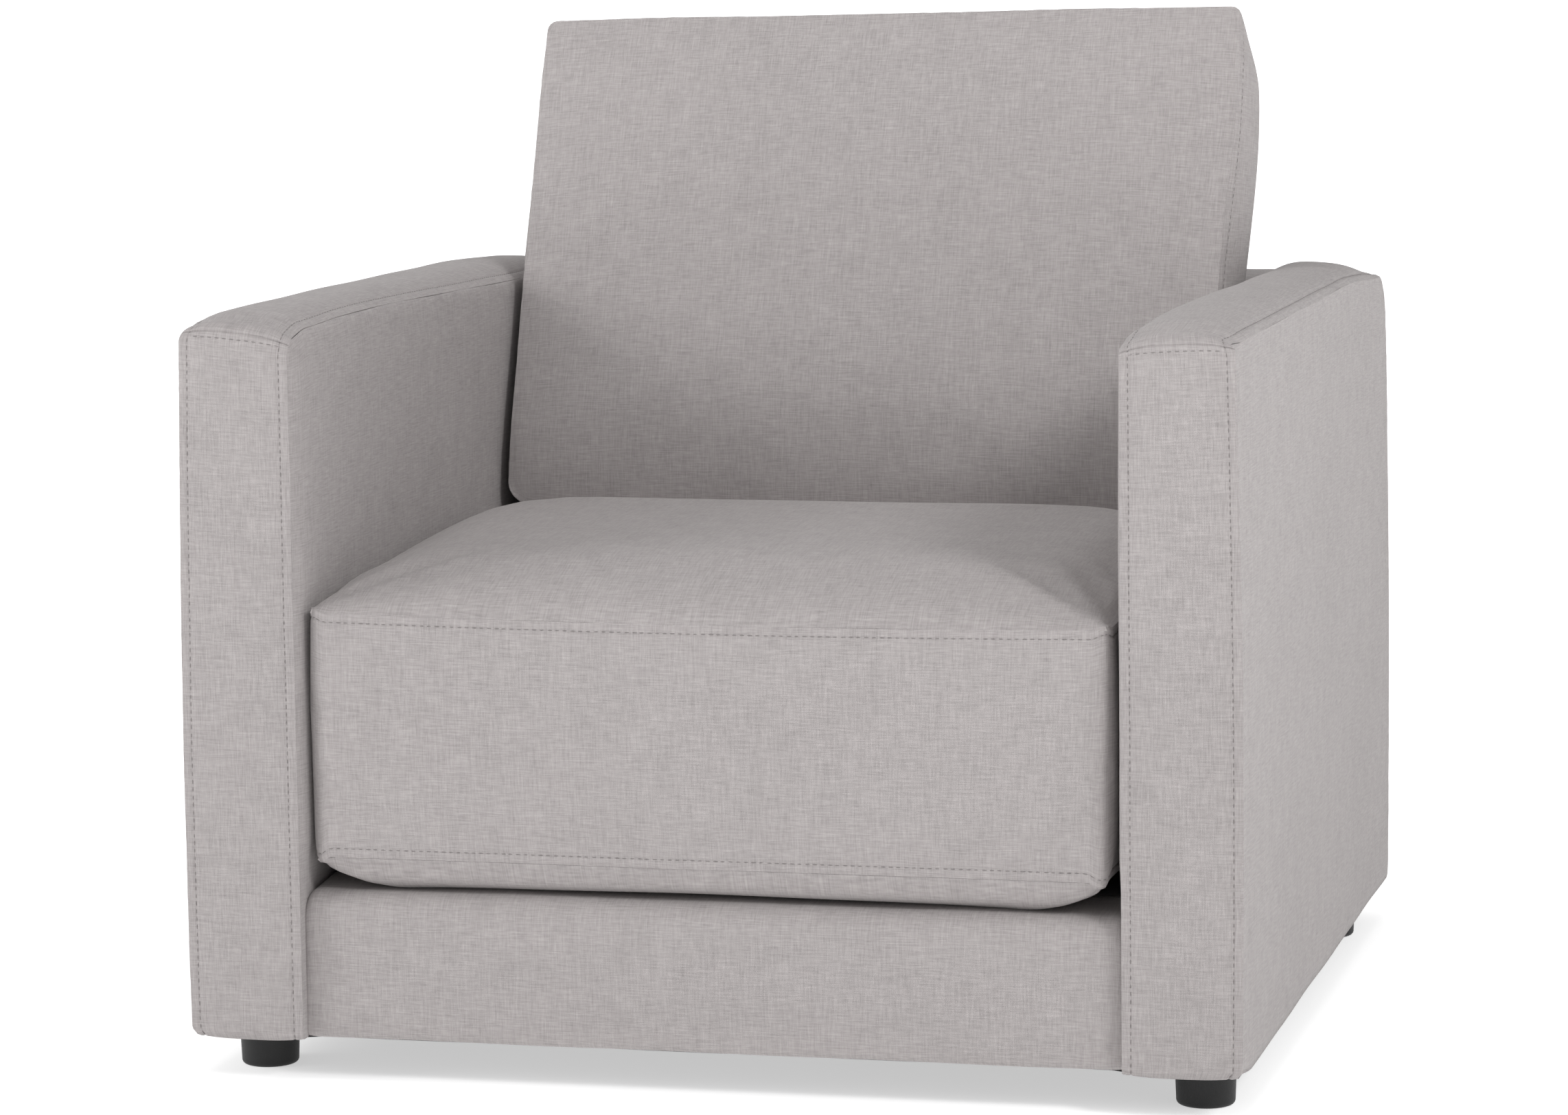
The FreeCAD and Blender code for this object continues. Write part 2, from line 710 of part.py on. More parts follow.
screws = []
for side_name, side_sign in SIDES:
    foot_x = FOOT_ACROSS if side_sign > 0 else "-%s" % FOOT_ACROSS
    for end_name, foot_y in FOOT_PLACES:
        node(make_foot(foot_x, foot_y), "foot_%s_%s" % (end_name, side_name))
        screws.append(foot_screw(foot_x, foot_y))
node(group(screws), "foot_screws")


def arm_bolt(side, y, z):
    """A bolt whose head bears on the seat box and whose shank runs outwards into the arm."""
    head = mirrored(side, "(%s - bolt_head_height)" % SIDE_RAIL_IN, SIDE_RAIL_IN)
    shank = mirrored(side, "(%s - joint_overlap)" % SIDE_RAIL_IN, "(%s + bolt_length)" % SIDE_RAIL_IN)
    return joined(rod(head, y, z, "bolt_head_radius"), rod(shank, y, z, "bolt_radius"))


def tee_nut(side, y, z):
    """A flanged barrel let into the outer face of the arm's timber."""
    flange = mirrored(side, "(%s - nut_flange_thick)" % ARM_TIMBER_OUT, ARM_TIMBER_OUT)
    reach = "(%s - nut_length - nut_flange_thick)" % ARM_TIMBER_OUT
    barrel = mirrored(side, reach, ARM_TIMBER_OUT)
    solid = joined(rod(flange, y, z, "nut_flange_radius"), rod(barrel, y, z, "nut_radius"))
    return minus(solid, rod(barrel, y, z, "bolt_radius + nut_slip"))


bolts = [arm_bolt(side_sign, y, z) for _, side_sign in SIDES for y, z in BOLT_PLACES]
node(group(bolts), "arm_bolts")
nuts = [tee_nut(side_sign, y, z) for _, side_sign in SIDES for y, z in BOLT_PLACES]
node(group(nuts), "arm_tee_nuts")

# ---------------------------------------------------------------------------
# Seat cushion
# ---------------------------------------------------------------------------

SEAT_BASE = "(deck_height + cushion_gap)"


def seat_block(inset):
    """The seat cushion's block drawn in by an inset: its rear follows the fixed back."""
    low = "(%s + %s)" % (SEAT_BASE, inset)
    high = "(seat_top - %s)" % inset
    front = "(-seat_front + %s)" % inset
    back = "(-cushion_gap - %s)" % inset
    corners = [(front, low), (leaning(low, back), low), (leaning(high, back), high), (front, high)]
    across = ("(-seat_half_width + %s)" % inset, "(seat_half_width - %s)" % inset)
    return soften(prism(across, corners), "(seat_round - %s)" % inset)


def tilted(across, near, far, heights, level):
    """A box square to the seat cushion's rear face: depths inwards from it, heights about a level."""
    low, high = heights
    made = doc.addObject("Part::Box", "Tilted")
    turn = FreeCAD.Rotation(FreeCAD.Vector(1, 0, 0), -1)
    made.Placement = FreeCAD.Placement(FreeCAD.Vector(), turn)
    bind(made, "Placement.Rotation.Angle", "-back_lean")
    bind(made, "Length", "(%s) - (%s)" % (across[1], across[0]))
    bind(made, "Width", "(%s) - (%s)" % (far, near))
    bind(made, "Height", "(%s) - (%s)" % (high, low))
    bind(made, "Placement.Base.x", across[0])
    rise = "(%s) * cos(back_lean * 1 deg)" % low
    run = "(%s) * sin(back_lean * 1 deg)" % low
    slope = "(cushion_gap + (%s))" % far
    y = "%s + %s - %s * cos(back_lean * 1 deg)" % (leaning(level), run, slope)
    z = "%s + %s + %s * sin(back_lean * 1 deg)" % (level, rise, slope)
    bind(made, "Placement.Base.y", y)
    bind(made, "Placement.Base.z", z)
    return made


ZIP_ACROSS = ("-zip_half_length", "zip_half_length")
ZIP_HALF = ("-zip_tape_width / 2", "zip_tape_width / 2")
CHAIN_HALF = ("-zip_chain_width / 2", "zip_chain_width / 2")
TAPE_FACE = "(zip_pocket - zip_tape_thick)"
SLIDER_HALF = ("-slider_width / 2", "slider_width / 2")
PULL_HALF = ("-pull_width / 2", "pull_width / 2")
SLIDER_RIGHT = "(zip_half_length - slider_inset)"
SLIDER_ACROSS = ("(zip_half_length - slider_inset - slider_length)", SLIDER_RIGHT)
PULL_ACROSS = ("(zip_half_length - slider_inset - slider_length - pull_length)", SLIDER_RIGHT)

pocket = tilted(ZIP_ACROSS, "-joint_overlap", "zip_pocket", ZIP_HALF, "zip_seat_level")
seat_outer = seat_block("0")
seat_inner = seat_block("cover_cloth")
node(minus(seat_outer, seat_inner, pocket), "seat_cushion_cover")

core_up = ("(%s + fibre_layer)" % SEAT_BASE, "(seat_top - fibre_layer)")
everywhere_x = ("(-chair_width)", "(chair_width)")
everywhere_y = ("(-chair_depth)", "(chair_depth)")
core_zone = block(everywhere_x, everywhere_y, core_up)
node(minus(common(seat_inner, core_zone), pocket), "seat_cushion_foam")
upper = common(seat_inner, block(everywhere_x, everywhere_y, (core_up[1], "seat_top")))
lower = common(seat_inner, block(everywhere_x, everywhere_y, (SEAT_BASE, core_up[0])))
node(group([upper, lower]), "seat_cushion_fibre")

tape = tilted(ZIP_ACROSS, TAPE_FACE, "zip_pocket", ZIP_HALF, "zip_seat_level")
chain_face = "(%s - zip_chain_thick)" % TAPE_FACE
chain = tilted(ZIP_ACROSS, chain_face, TAPE_FACE, CHAIN_HALF, "zip_seat_level")
node(joined(tape, chain), "seat_cushion_zip")

slider_face = "(%s - cushion_gap / 2)" % chain_face
slider_top = "(%s - slider_thick)" % slider_face
pull_face = "(%s + zip_chain_thick)" % slider_top
slider = tilted(SLIDER_ACROSS, slider_top, slider_face, SLIDER_HALF, "zip_seat_level")
pull = tilted(PULL_ACROSS, slider_top, pull_face, PULL_HALF, "zip_seat_level")
node(joined(slider, pull), "seat_cushion_zip_slider")

# ---------------------------------------------------------------------------
# Back cushion
# ---------------------------------------------------------------------------

BACK_CUSHION_BASE = "(seat_top + cushion_gap)"
FRONT_COS = "cos(back_cushion_front_lean * 1 deg)"
FRONT_SIN = "sin(back_cushion_front_lean * 1 deg)"
FRONT_TAN = "tan(back_cushion_front_lean * 1 deg)"
REAR_COS = "cos(back_cushion_rear_lean * 1 deg)"
REAR_TAN = "tan(back_cushion_rear_lean * 1 deg)"
FRONT_TOP_Y = "(back_cushion_foot + back_cushion_length * %s)" % FRONT_SIN
FRONT_TOP_Z = "(%s + back_cushion_length * %s)" % (BACK_CUSHION_BASE, FRONT_COS)


def back_block(inset):
    """The back cushion's block drawn in by an inset: it stands on the seat and leans on the fixed back.

    Its top is square to its front face, and meets its rear face where the two lines cross."""
    low = "(%s + %s)" % (BACK_CUSHION_BASE, inset)
    front_low = "(back_cushion_foot + (%s) / %s + (%s) * %s)" % (inset, FRONT_COS, inset, FRONT_TAN)
    rest = "(%s - cushion_gap / %s)" % (leaning("back_height"), REAR_COS)
    rear_low = "(%s - (back_height - %s) * %s - (%s) / %s)" % (rest, low, REAR_TAN, inset, REAR_COS)
    below_top = "(back_height - %s)" % FRONT_TOP_Z
    gap = "(%s - %s - %s * %s)" % (rest, FRONT_TOP_Y, below_top, REAR_TAN)
    reach = "(%s / (1 + %s * %s))" % (gap, FRONT_TAN, REAR_TAN)
    less = "(%s) * (%s - %s)" % (inset, FRONT_COS, FRONT_SIN)
    more = "(%s) * (%s + %s)" % (inset, FRONT_COS, FRONT_SIN)
    front_top = ("(%s + %s)" % (FRONT_TOP_Y, less), "(%s - %s)" % (FRONT_TOP_Z, more))
    rear_top_z = "(%s - %s * %s - %s)" % (FRONT_TOP_Z, reach, FRONT_TAN, less)
    rear_top = ("(%s + %s - %s)" % (FRONT_TOP_Y, reach, more), rear_top_z)
    corners = [(front_low, low), (rear_low, low), rear_top, front_top]
    half = "(back_cushion_half_width - %s)" % inset
    return soften(prism(("-%s" % half, half), corners), "(back_cushion_round - %s)" % inset)


def under(across, near, far, about):
    """A box in the back cushion's underside: heights are depths above it, along Y about the zip."""
    up = ("(%s + %s)" % (BACK_CUSHION_BASE, near), "(%s + %s)" % (BACK_CUSHION_BASE, far))
    along = ["(zip_back_place + (%s))" % edge for edge in about]
    return block(across, along, up)


back_pocket = under(ZIP_ACROSS, "(-joint_overlap)", "zip_pocket", ZIP_HALF)
back_outer = back_block("0")
back_inner = back_block("cover_cloth")
node(minus(back_outer, back_inner, back_pocket), "back_cushion_cover")
node(minus(back_inner, back_pocket), "back_cushion_fill")

tape = under(ZIP_ACROSS, TAPE_FACE, "zip_pocket", ZIP_HALF)
chain = under(ZIP_ACROSS, chain_face, TAPE_FACE, CHAIN_HALF)
node(joined(tape, chain), "back_cushion_zip")

slider = under(SLIDER_ACROSS, slider_top, slider_face, SLIDER_HALF)
pull = under(PULL_ACROSS, slider_top, pull_face, PULL_HALF)
node(joined(slider, pull), "back_cushion_zip_slider")

# ---------------------------------------------------------------------------
# Checks and export
# ---------------------------------------------------------------------------

doc.recompute()
for item in doc.Objects:
    if "Invalid" in item.State or "Error" in item.State:
        raise RuntimeError("%s (%s) failed: %s" % (item.Name, item.Label, item.State))

os.makedirs("parts", exist_ok=True)
whole = FreeCAD.BoundBox()
for item in NODES:
    shape = item.Shape
    if shape.isNull() or not shape.isValid() or not shape.Solids:
        raise RuntimeError("%s has no valid solid" % item.Label)
    whole.add(shape.BoundBox)
    shape.exportStep("parts/%s.step" % item.Label)

print("%d sub-parts" % len(NODES))
print("box x %.1f to %.1f, y %.1f to %.1f, z %.1f to %.1f" % (
    whole.XMin, whole.XMax, whole.YMin, whole.YMax, whole.ZMin, whole.ZMax
))
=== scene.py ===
# %% [markdown]
# # A square-armed upholstered armchair
# The chair is a timber box frame with two slab arms and a leaning fixed back, all padded and
# covered in a heathered linen, with a loose box cushion to sit on and another to lean on. The
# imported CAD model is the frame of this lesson: it says where each part is and which body it
# moves with. Hard parts keep their CAD shape and only get a finish. Soft parts are made again
# here as cloth, because cloth is what a flat CAD solid can't show.
import math

import bmesh
import bpy
import numpy as np
from mathutils import Matrix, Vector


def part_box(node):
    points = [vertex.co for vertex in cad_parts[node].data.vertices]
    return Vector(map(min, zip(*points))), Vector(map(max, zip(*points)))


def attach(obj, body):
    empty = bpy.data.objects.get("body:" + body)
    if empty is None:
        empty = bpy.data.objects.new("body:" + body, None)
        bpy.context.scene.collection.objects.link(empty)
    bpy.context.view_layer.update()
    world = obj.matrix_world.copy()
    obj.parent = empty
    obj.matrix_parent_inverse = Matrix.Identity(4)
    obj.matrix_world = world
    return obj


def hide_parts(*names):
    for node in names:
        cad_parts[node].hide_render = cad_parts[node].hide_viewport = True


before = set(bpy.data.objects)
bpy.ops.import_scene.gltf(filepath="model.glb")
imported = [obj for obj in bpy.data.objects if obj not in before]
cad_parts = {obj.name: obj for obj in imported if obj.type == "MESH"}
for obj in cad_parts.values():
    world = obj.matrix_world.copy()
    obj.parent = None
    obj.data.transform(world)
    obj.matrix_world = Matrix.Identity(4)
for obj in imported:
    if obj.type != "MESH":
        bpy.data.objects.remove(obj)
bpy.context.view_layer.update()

MM = 0.001

# %% [markdown]
# ## The studio
# The chair stands on a white studio sweep. Soft light comes from all round, with a small
# strong light in front on the sitter's left and a broad one of about the same power on the
# sitter's right. Two weak ones, above and low on the sitter's left, soften the shadows. The
# camera stands a little to the sitter's left and looks slightly down through a long lens, so
# upright edges stay almost parallel. The floor glows a little by itself: that keeps it white
# close to the chair while a soft shadow stays underneath.

# %% Camera
CAMERA_PLACE = (1.1162, -4.6281, 1.0192)
CAMERA_YAW = math.radians(14.012)
CAMERA_PITCH = math.radians(-7.402)
CAMERA_ROLL = math.radians(-0.726)
SENSOR_WIDTH = 36.0
LENS = 121.57


def camera_axes(yaw, pitch, roll):
    """Forward is (-sin yaw cos pitch, cos yaw cos pitch, sin pitch); the roll turns right and up about it."""
    forward = np.array([-math.sin(yaw) * math.cos(pitch), math.cos(yaw) * math.cos(pitch), math.sin(pitch)])
    right = np.cross(forward, [0.0, 0.0, 1.0])
    right /= np.linalg.norm(right)
    up = np.cross(right, forward)
    turned_right = math.cos(roll) * right + math.sin(roll) * up
    turned_up = math.cos(roll) * up - math.sin(roll) * right
    return turned_right, turned_up, -forward


camera_data = bpy.data.cameras.new("camera")
camera_data.lens = LENS
camera_data.sensor_width = SENSOR_WIDTH
camera_data.sensor_fit = "HORIZONTAL"
camera_data.clip_end = 200.0
camera = bpy.data.objects.new("camera", camera_data)
bpy.context.collection.objects.link(camera)
axes = np.column_stack(camera_axes(CAMERA_YAW, CAMERA_PITCH, CAMERA_ROLL))
camera.matrix_world = Matrix.Translation(CAMERA_PLACE) @ Matrix(axes.tolist()).to_4x4()
bpy.context.scene.camera = camera
bpy.context.scene.view_settings.view_transform = "Standard"
print("camera stands", np.round(CAMERA_PLACE, 2).tolist(), "with a", LENS, "mm lens")

# %% [markdown]
# ## Shader sums in Python
# A procedural finish is mostly arithmetic on a few patterns. Wiring Math nodes by hand hides
# that arithmetic, so one small class wraps a socket and lets + - * make the nodes.

# %% A socket that can be used in sums


class Wire:
    """An output of a shader node. A sum with a number or another wire adds the Math node for it."""

    def __init__(self, finish, socket):
        self.finish = finish
        self.socket = socket

    def work(self, how, first, second):
        return self.finish.node("ShaderNodeMath", {"operation": how}, {0: first, 1: second})

    def __add__(self, other):
        return self.work("ADD", self, other)

    def __radd__(self, other):
        return self.work("ADD", other, self)

    def __sub__(self, other):
        return self.work("SUBTRACT", self, other)

    def __mul__(self, other):
        return self.work("MULTIPLY", self, other)


class Finish:
    """A material under construction; node() adds any shader node to it."""

    def __init__(self, name):
        self.material = bpy.data.materials.new(name)
        self.material.use_nodes = True
        self.tree = self.material.node_tree
        self.tree.nodes.clear()

    def node(self, kind, settings=None, sockets=None, out=0):
        """Adds one node; a socket takes a number, a colour or a wire, and out picks the output."""
        node = self.tree.nodes.new(kind)
        for key, value in (settings or {}).items():
            setattr(node, key, value)
        for key, value in (sockets or {}).items():
            if isinstance(value, Wire):
                self.tree.links.new(value.socket, node.inputs[key])
            else:
                node.inputs[key].default_value = value
        return Wire(self, node.outputs[out])

    def blend_colours(self, amount, low, high):
        """Colour = low (1 - amount) + high amount."""
        settings = {"data_type": "RGBA", "clamp_factor": True}
        return self.node("ShaderNodeMix", settings, {0: amount, 6: (*low, 1.0), 7: (*high, 1.0)}, out=2)

    def noise(self, place, scale, detail=2.0, stretch=None, shift=0.0):
        """Smooth random pattern of about 0.5, read at place * stretch + shift."""
        if stretch is not None:
            place = self.node("ShaderNodeVectorMath", {"operation": "MULTIPLY"}, {0: place, 1: stretch})
        if shift:
            place = self.node("ShaderNodeVectorMath", {"operation": "ADD"}, {0: place, 1: (shift,) * 3})
        return self.node("ShaderNodeTexNoise", {}, {"Vector": place, "Scale": scale, "Detail": detail})

    def done(self, shader, bump=None):
        """Adds the shader and the output; a bump is (height wire, strength, distance)."""
        if bump is not None:
            height, strength, distance = bump
            sockets = {"Height": height, "Strength": strength, "Distance": distance}
            shader["Normal"] = self.node("ShaderNodeBump", {}, sockets)
        surface = self.node("ShaderNodeBsdfPrincipled", {}, shader)
        self.node_output(surface)
        return self.material

    def node_output(self, surface):
        output = self.tree.nodes.new("ShaderNodeOutputMaterial")
        self.tree.links.new(surface.socket, output.inputs["Surface"])


# %% [markdown]
# ## White sweep and light
# The sweep is a wide sheet under the feet. Its finish adds a little glow to a matt white, and
# the sky is plain white too, so no horizon shows from a low angle.

# %% Floor and lights
FLOOR_REACH = 60.0
FLOOR_GLOW = 0.52
FAR_GLOW = 0.95
GLOW_NEAR = 0.9
GLOW_FAR = 2.4
SKY_SEEN = 1.0
SKY_LIGHT = 0.52


def floor_finish():
    """Matt white plus a glow that grows from FLOOR_GLOW beside the chair to FAR_GLOW some metres away."""
    finish = Finish("studio_floor")
    matt = finish.node("ShaderNodeBsdfDiffuse", {}, {"Color": (0.86, 0.86, 0.86, 1.0)})
    place = finish.node("ShaderNodeTexCoord", out=3)
    far = finish.node("ShaderNodeVectorMath", {"operation": "LENGTH"}, {0: place}, out=1)
    share = (far - GLOW_NEAR) * (1.0 / (GLOW_FAR - GLOW_NEAR))
    colour = finish.blend_colours(share, (FLOOR_GLOW,) * 3, (FAR_GLOW,) * 3)
    glow = finish.node("ShaderNodeEmission", {}, {"Color": colour, "Strength": 1.0})
    finish.node_output(finish.node("ShaderNodeAddShader", {}, {0: matt, 1: glow}))
    return finish.material


floor_mesh = bpy.data.meshes.new("studio_floor")
floor_corners = [(-FLOOR_REACH, -FLOOR_REACH, 0), (FLOOR_REACH, -FLOOR_REACH, 0)]
floor_corners += [(FLOOR_REACH, FLOOR_REACH, 0), (-FLOOR_REACH, FLOOR_REACH, 0)]
floor_mesh.from_pydata(floor_corners, [], [(0, 1, 2, 3)])
floor_mesh.materials.append(floor_finish())
floor = bpy.data.objects.new("studio_floor", floor_mesh)
bpy.context.collection.objects.link(floor)

world = bpy.data.worlds.new("studio_sky")
bpy.context.scene.world = world
world.use_nodes = True
sky = world.node_tree
sky.nodes["Background"].inputs["Strength"].default_value = SKY_LIGHT
seen = sky.nodes.new("ShaderNodeBackground")
seen.inputs["Color"].default_value = (1.0, 1.0, 1.0, 1.0)
seen.inputs["Strength"].default_value = SKY_SEEN
sky.nodes["Background"].inputs["Color"].default_value = (1.0, 1.0, 1.0, 1.0)
either = sky.nodes.new("ShaderNodeMixShader")
sky.links.new(sky.nodes.new("ShaderNodeLightPath").outputs["Is Camera Ray"], either.inputs["Fac"])
sky.links.new(sky.nodes["Background"].outputs["Background"], either.inputs[1])
sky.links.new(seen.outputs["Background"], either.inputs[2])
sky.links.new(either.outputs["Shader"], sky.nodes["World Output"].inputs["Surface"])


def soft_light(name, place, aim, size, power):
    """A square light at place, turned so that its -Z looks at aim."""
    data = bpy.data.lights.new(name, "AREA")
    data.size = size
    data.energy = power
    light = bpy.data.objects.new(name, data)
    bpy.context.collection.objects.link(light)
    back = np.array(place) - np.array(aim)
    back = back / np.linalg.norm(back)
    right = np.cross([0.0, 0.0, 1.0], back)
    right /= np.linalg.norm(right)
    turn = np.column_stack([right, np.cross(back, right), back])
    light.matrix_world = Matrix.Translation(place) @ Matrix(turn.tolist()).to_4x4()


CHAIR_HEART = (0.0, 0.0, 0.40)
soft_light("top_light", (0.0, -0.5, 3.4), CHAIR_HEART, 2.0, 20.0)
soft_light("key_light", (2.65, -2.38, 2.63), CHAIR_HEART, 0.9, 60.0)
soft_light("right_fill", (3.32, -1.76, 1.77), CHAIR_HEART, 1.6, 4.0)
soft_light("left_fill", (-3.32, -1.76, 1.77), CHAIR_HEART, 1.6, 58.0)
print("floor reaches", FLOOR_REACH, "m each way; lights:", len(bpy.data.lights))

# %% [markdown]
# ## Linen
# The cover is a plain weave of uneven flax-like yarn: pale and dark fibres are spun together,
# and thicker lengths of yarn show as short light and dark dashes that run both ways. The
# pattern is worked out in metres along the cloth, which each panel carries as its own UV map,
# so it follows the panel round its curves and has the same scale everywhere.

# %% The cloth finishes
CLOTH_MAP = "cloth"
LINEN_PITCH = 1.3 * MM
YARN_DASHES = [
    ((44.0, 860.0, 1.0), 0.50, 3.1),
    ((860.0, 44.0, 1.0), 0.44, 7.7),
    ((120.0, 1250.0, 1.0), 0.40, 11.3),
    ((1250.0, 120.0, 1.0), 0.36, 17.9),
]
CLOTH_BLOTCHES = [(30.0, 0.16, 23.5), (5.0, 0.10, 31.5)]


def cloth_finish(name, dark, light, slub=1.0, roughness=0.92, sheen=0.10, pitch=LINEN_PITCH):
    """Tone = 0.5 + dashes along the yarn both ways + slow blotches; the weave is sin(x) sin(y)."""
    finish = Finish(name)
    cloth = finish.node("ShaderNodeUVMap", {"uv_map": CLOTH_MAP})
    across = finish.node("ShaderNodeSeparateXYZ", {}, {0: cloth})
    along = Wire(finish, across.socket.node.outputs[1])
    tone = 0.5
    for stretch, weight, shift in YARN_DASHES:
        pattern = finish.noise(cloth, 1.0, 1.0, stretch, shift)
        tone = tone + (pattern - 0.5) * (weight * slub)
    for scale, weight, shift in CLOTH_BLOTCHES:
        tone = tone + (finish.noise(cloth, scale, 2.0, None, shift) - 0.5) * (weight * slub)
    turns = 2.0 * math.pi / pitch
    wave_across = finish.node("ShaderNodeMath", {"operation": "SINE"}, {0: across * turns})
    wave_along = finish.node("ShaderNodeMath", {"operation": "SINE"}, {0: along * turns})
    height = wave_across * wave_along * 0.5 + tone * 1.2
    colour = finish.blend_colours(tone, dark, light)
    shader = {"Base Color": colour, "Roughness": roughness, "Sheen Weight": sheen, "Sheen Roughness": 0.45}
    shader["Specular IOR Level"] = 0.25
    return finish.done(shader, (height, 0.35, 0.25 * MM))


linen = cloth_finish("linen", (0.205, 0.190, 0.188), (0.470, 0.438, 0.434))
deck_weave = cloth_finish("deck_weave", (0.10, 0.098, 0.096), (0.17, 0.166, 0.162), slub=0.5)
dust_weave = cloth_finish("dust_weave", (0.010, 0.010, 0.011), (0.030, 0.030, 0.032), slub=0.6)
strap_weave = cloth_finish("strap_weave", (0.060, 0.056, 0.052), (0.62, 0.58, 0.50), slub=0.8, pitch=2.4 * MM)
tape_weave = cloth_finish("tape_weave", (0.22, 0.205, 0.20), (0.40, 0.375, 0.37), slub=0.6, pitch=1.0 * MM)
print("cloth finishes:", [m.name for m in (linen, deck_weave, dust_weave, strap_weave, tape_weave)])

# %% [markdown]
# ## Thread, timber, board, foam, plastic and steel
# The hard parts keep their CAD meshes, which have no UV map, so their patterns read Object
# coordinates. Timber has long streaks along one axis; board has pressed flakes; foam has
# small open cells; moulded feet have a fine spark-eroded grain.

# %% The other finishes


def thread_and_painted_shade_finish():
    """Fine noise between two tones a little darker than the cloth: the thread's own tone plus painted shade of
    the holes it dips into.
    """
    finish = Finish("sewing_thread_and_painted_shade")
    place = finish.node("ShaderNodeTexCoord", out=3)
    tone = finish.noise(place, 900.0, 1.0)
    # Both thread tones sit below the cloth's: the thread's own colour with painted shade of the stitch holes
    # added.
    colour = finish.blend_colours(tone, (0.150, 0.138, 0.136), (0.250, 0.231, 0.228))
    return finish.done({"Base Color": colour, "Roughness": 0.75, "Specular IOR Level": 0.3})


def timber_finish(name, stretch):
    """Rings = noise read at a place squeezed along the grain; dark late wood where it is high."""
    finish = Finish(name)
    place = finish.node("ShaderNodeTexCoord", out=3)
    grain = finish.noise(place, 60.0, 4.0, stretch, 1.7)
    fine = finish.noise(place, 420.0, 2.0, stretch, 5.1)
    tone = grain * 1.5 + fine * 0.4 - 0.45
    colour = finish.blend_colours(tone, (0.300, 0.180, 0.085), (0.640, 0.470, 0.285))
    return finish.done({"Base Color": colour, "Roughness": 0.55 + fine * 0.15}, (grain + fine, 0.3, 0.4 * MM))


def flake_finish(name, dark, light, scale, roughness=0.7):
    """Tone = two sizes of noise added; used for board, foam and moulded plastic."""
    finish = Finish(name)
    place = finish.node("ShaderNodeTexCoord", out=3)
    coarse = finish.noise(place, scale, 3.0)
    fine = finish.noise(place, scale * 5.0, 2.0, None, 2.9)
    tone = coarse * 0.9 + fine * 0.7 - 0.3
    colour = finish.blend_colours(tone, dark, light)
    shader = {"Base Color": colour, "Roughness": roughness + (fine - 0.5) * 0.12}
    return finish.done(shader, (coarse + fine, 0.35, 0.3 * MM))


def steel_finish(name, dark, light, roughness):
    """Metal whose tone and roughness both follow one noise pattern of wear."""
    finish = Finish(name)
    place = finish.node("ShaderNodeTexCoord", out=3)
    wear = finish.noise(place, 240.0, 3.0)
    colour = finish.blend_colours(wear, dark, light)
    shader = {"Base Color": colour, "Metallic": 1.0, "Roughness": roughness + (wear - 0.5) * 0.25}
    return finish.done(shader, (wear, 0.15, 0.1 * MM))


thread = thread_and_painted_shade_finish()
timber_along = timber_finish("timber_along_y", (1.0, 0.06, 1.0))
timber_across = timber_finish("timber_along_x", (0.06, 1.0, 1.0))
timber_up = timber_finish("timber_along_z", (1.0, 1.0, 0.06))
board = flake_finish("pressed_board", (0.260, 0.165, 0.085), (0.520, 0.370, 0.215), 90.0)
foam = flake_finish("polyurethane_foam", (0.620, 0.560, 0.380), (0.860, 0.810, 0.640), 260.0, 0.9)
foot_plastic = flake_finish("foot_plastic", (0.0022, 0.0022, 0.0024), (0.0048, 0.0048, 0.0052), 700.0, 0.55)
spring_steel = steel_finish("spring_steel", (0.20, 0.20, 0.21), (0.36, 0.36, 0.38), 0.38)
zinc_steel = steel_finish("zinc_steel", (0.46, 0.47, 0.48), (0.66, 0.67, 0.68), 0.32)
zip_metal = steel_finish("zip_metal", (0.30, 0.29, 0.28), (0.48, 0.47, 0.46), 0.35)
print("finishes:", len(bpy.data.materials))

# %% [markdown]
# ## Hard parts keep their CAD shape
# Each hard node only needs the finish that its material slot names. The mesh of a CAD node is
# never touched: the finish goes on the object's own material slot.

# %% Dress the hard nodes
HARD_NODES = {
    "front_seat_rail": timber_across,
    "rear_base_rail": timber_across,
    "spring_rail": timber_across,
    "left_side_rail": timber_along,
    "right_side_rail": timber_along,
    "corner_blocks": timber_up,
    "back_top_rail": timber_across,
    "back_lower_rail": timber_across,
    "left_back_panel": board,
    "right_back_panel": board,
    "back_outer_board": board,
    "foot_front_left": foot_plastic,
    "foot_front_right": foot_plastic,
    "foot_rear_left": foot_plastic,
    "foot_rear_right": foot_plastic,
    "foot_screws": zinc_steel,
    "arm_bolts": zinc_steel,
    "arm_tee_nuts": zinc_steel,
    "spring_clips": spring_steel,
}
ARM_HARD_NODES = {
    "arm_inner_board": board,
    "arm_outer_board": board,
    "arm_front_post": timber_up,
    "arm_rear_post": timber_up,
    "arm_top_rail": timber_along,
    "arm_bottom_rail": timber_along,
}


def dress(node, finish):
    """The node's object shows this finish; its mesh stays as it is."""
    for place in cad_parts[node].material_slots:
        place.link = "OBJECT"
        place.material = finish


for name, finish in HARD_NODES.items():
    dress(name, finish)
for name, finish in ARM_HARD_NODES.items():
    dress("left_" + name, finish)
    dress("right_" + name, finish)
print("hard nodes dressed:", len(HARD_NODES) + 2 * len(ARM_HARD_NODES))

# %% [markdown]
# ## Sheets as functions
# Every cover panel is a sheet: a function that takes two distances along the cloth and gives
# a point in space. A grid of such points is a mesh. The helpers below make the grid, set its
# faces and its UV map from whole arrays, and weld points that fall together.

# %% Grid helpers


def smooth(x):
    """Soft step from 0 to 1: 3x^2 - 2x^3."""
    x = np.clip(x, 0.0, 1.0)
    return x * x * (3.0 - 2.0 * x)


def bell(x):
    """Bell curve exp(-x^2)."""
    return np.exp(-x * x)


def quarter(x):
    """Quarter circle from 0 to 1: sqrt(1 - (1 - x)^2), flat after 1."""
    return np.sqrt(1.0 - (1.0 - np.clip(x, 0.0, 1.0)) ** 2)


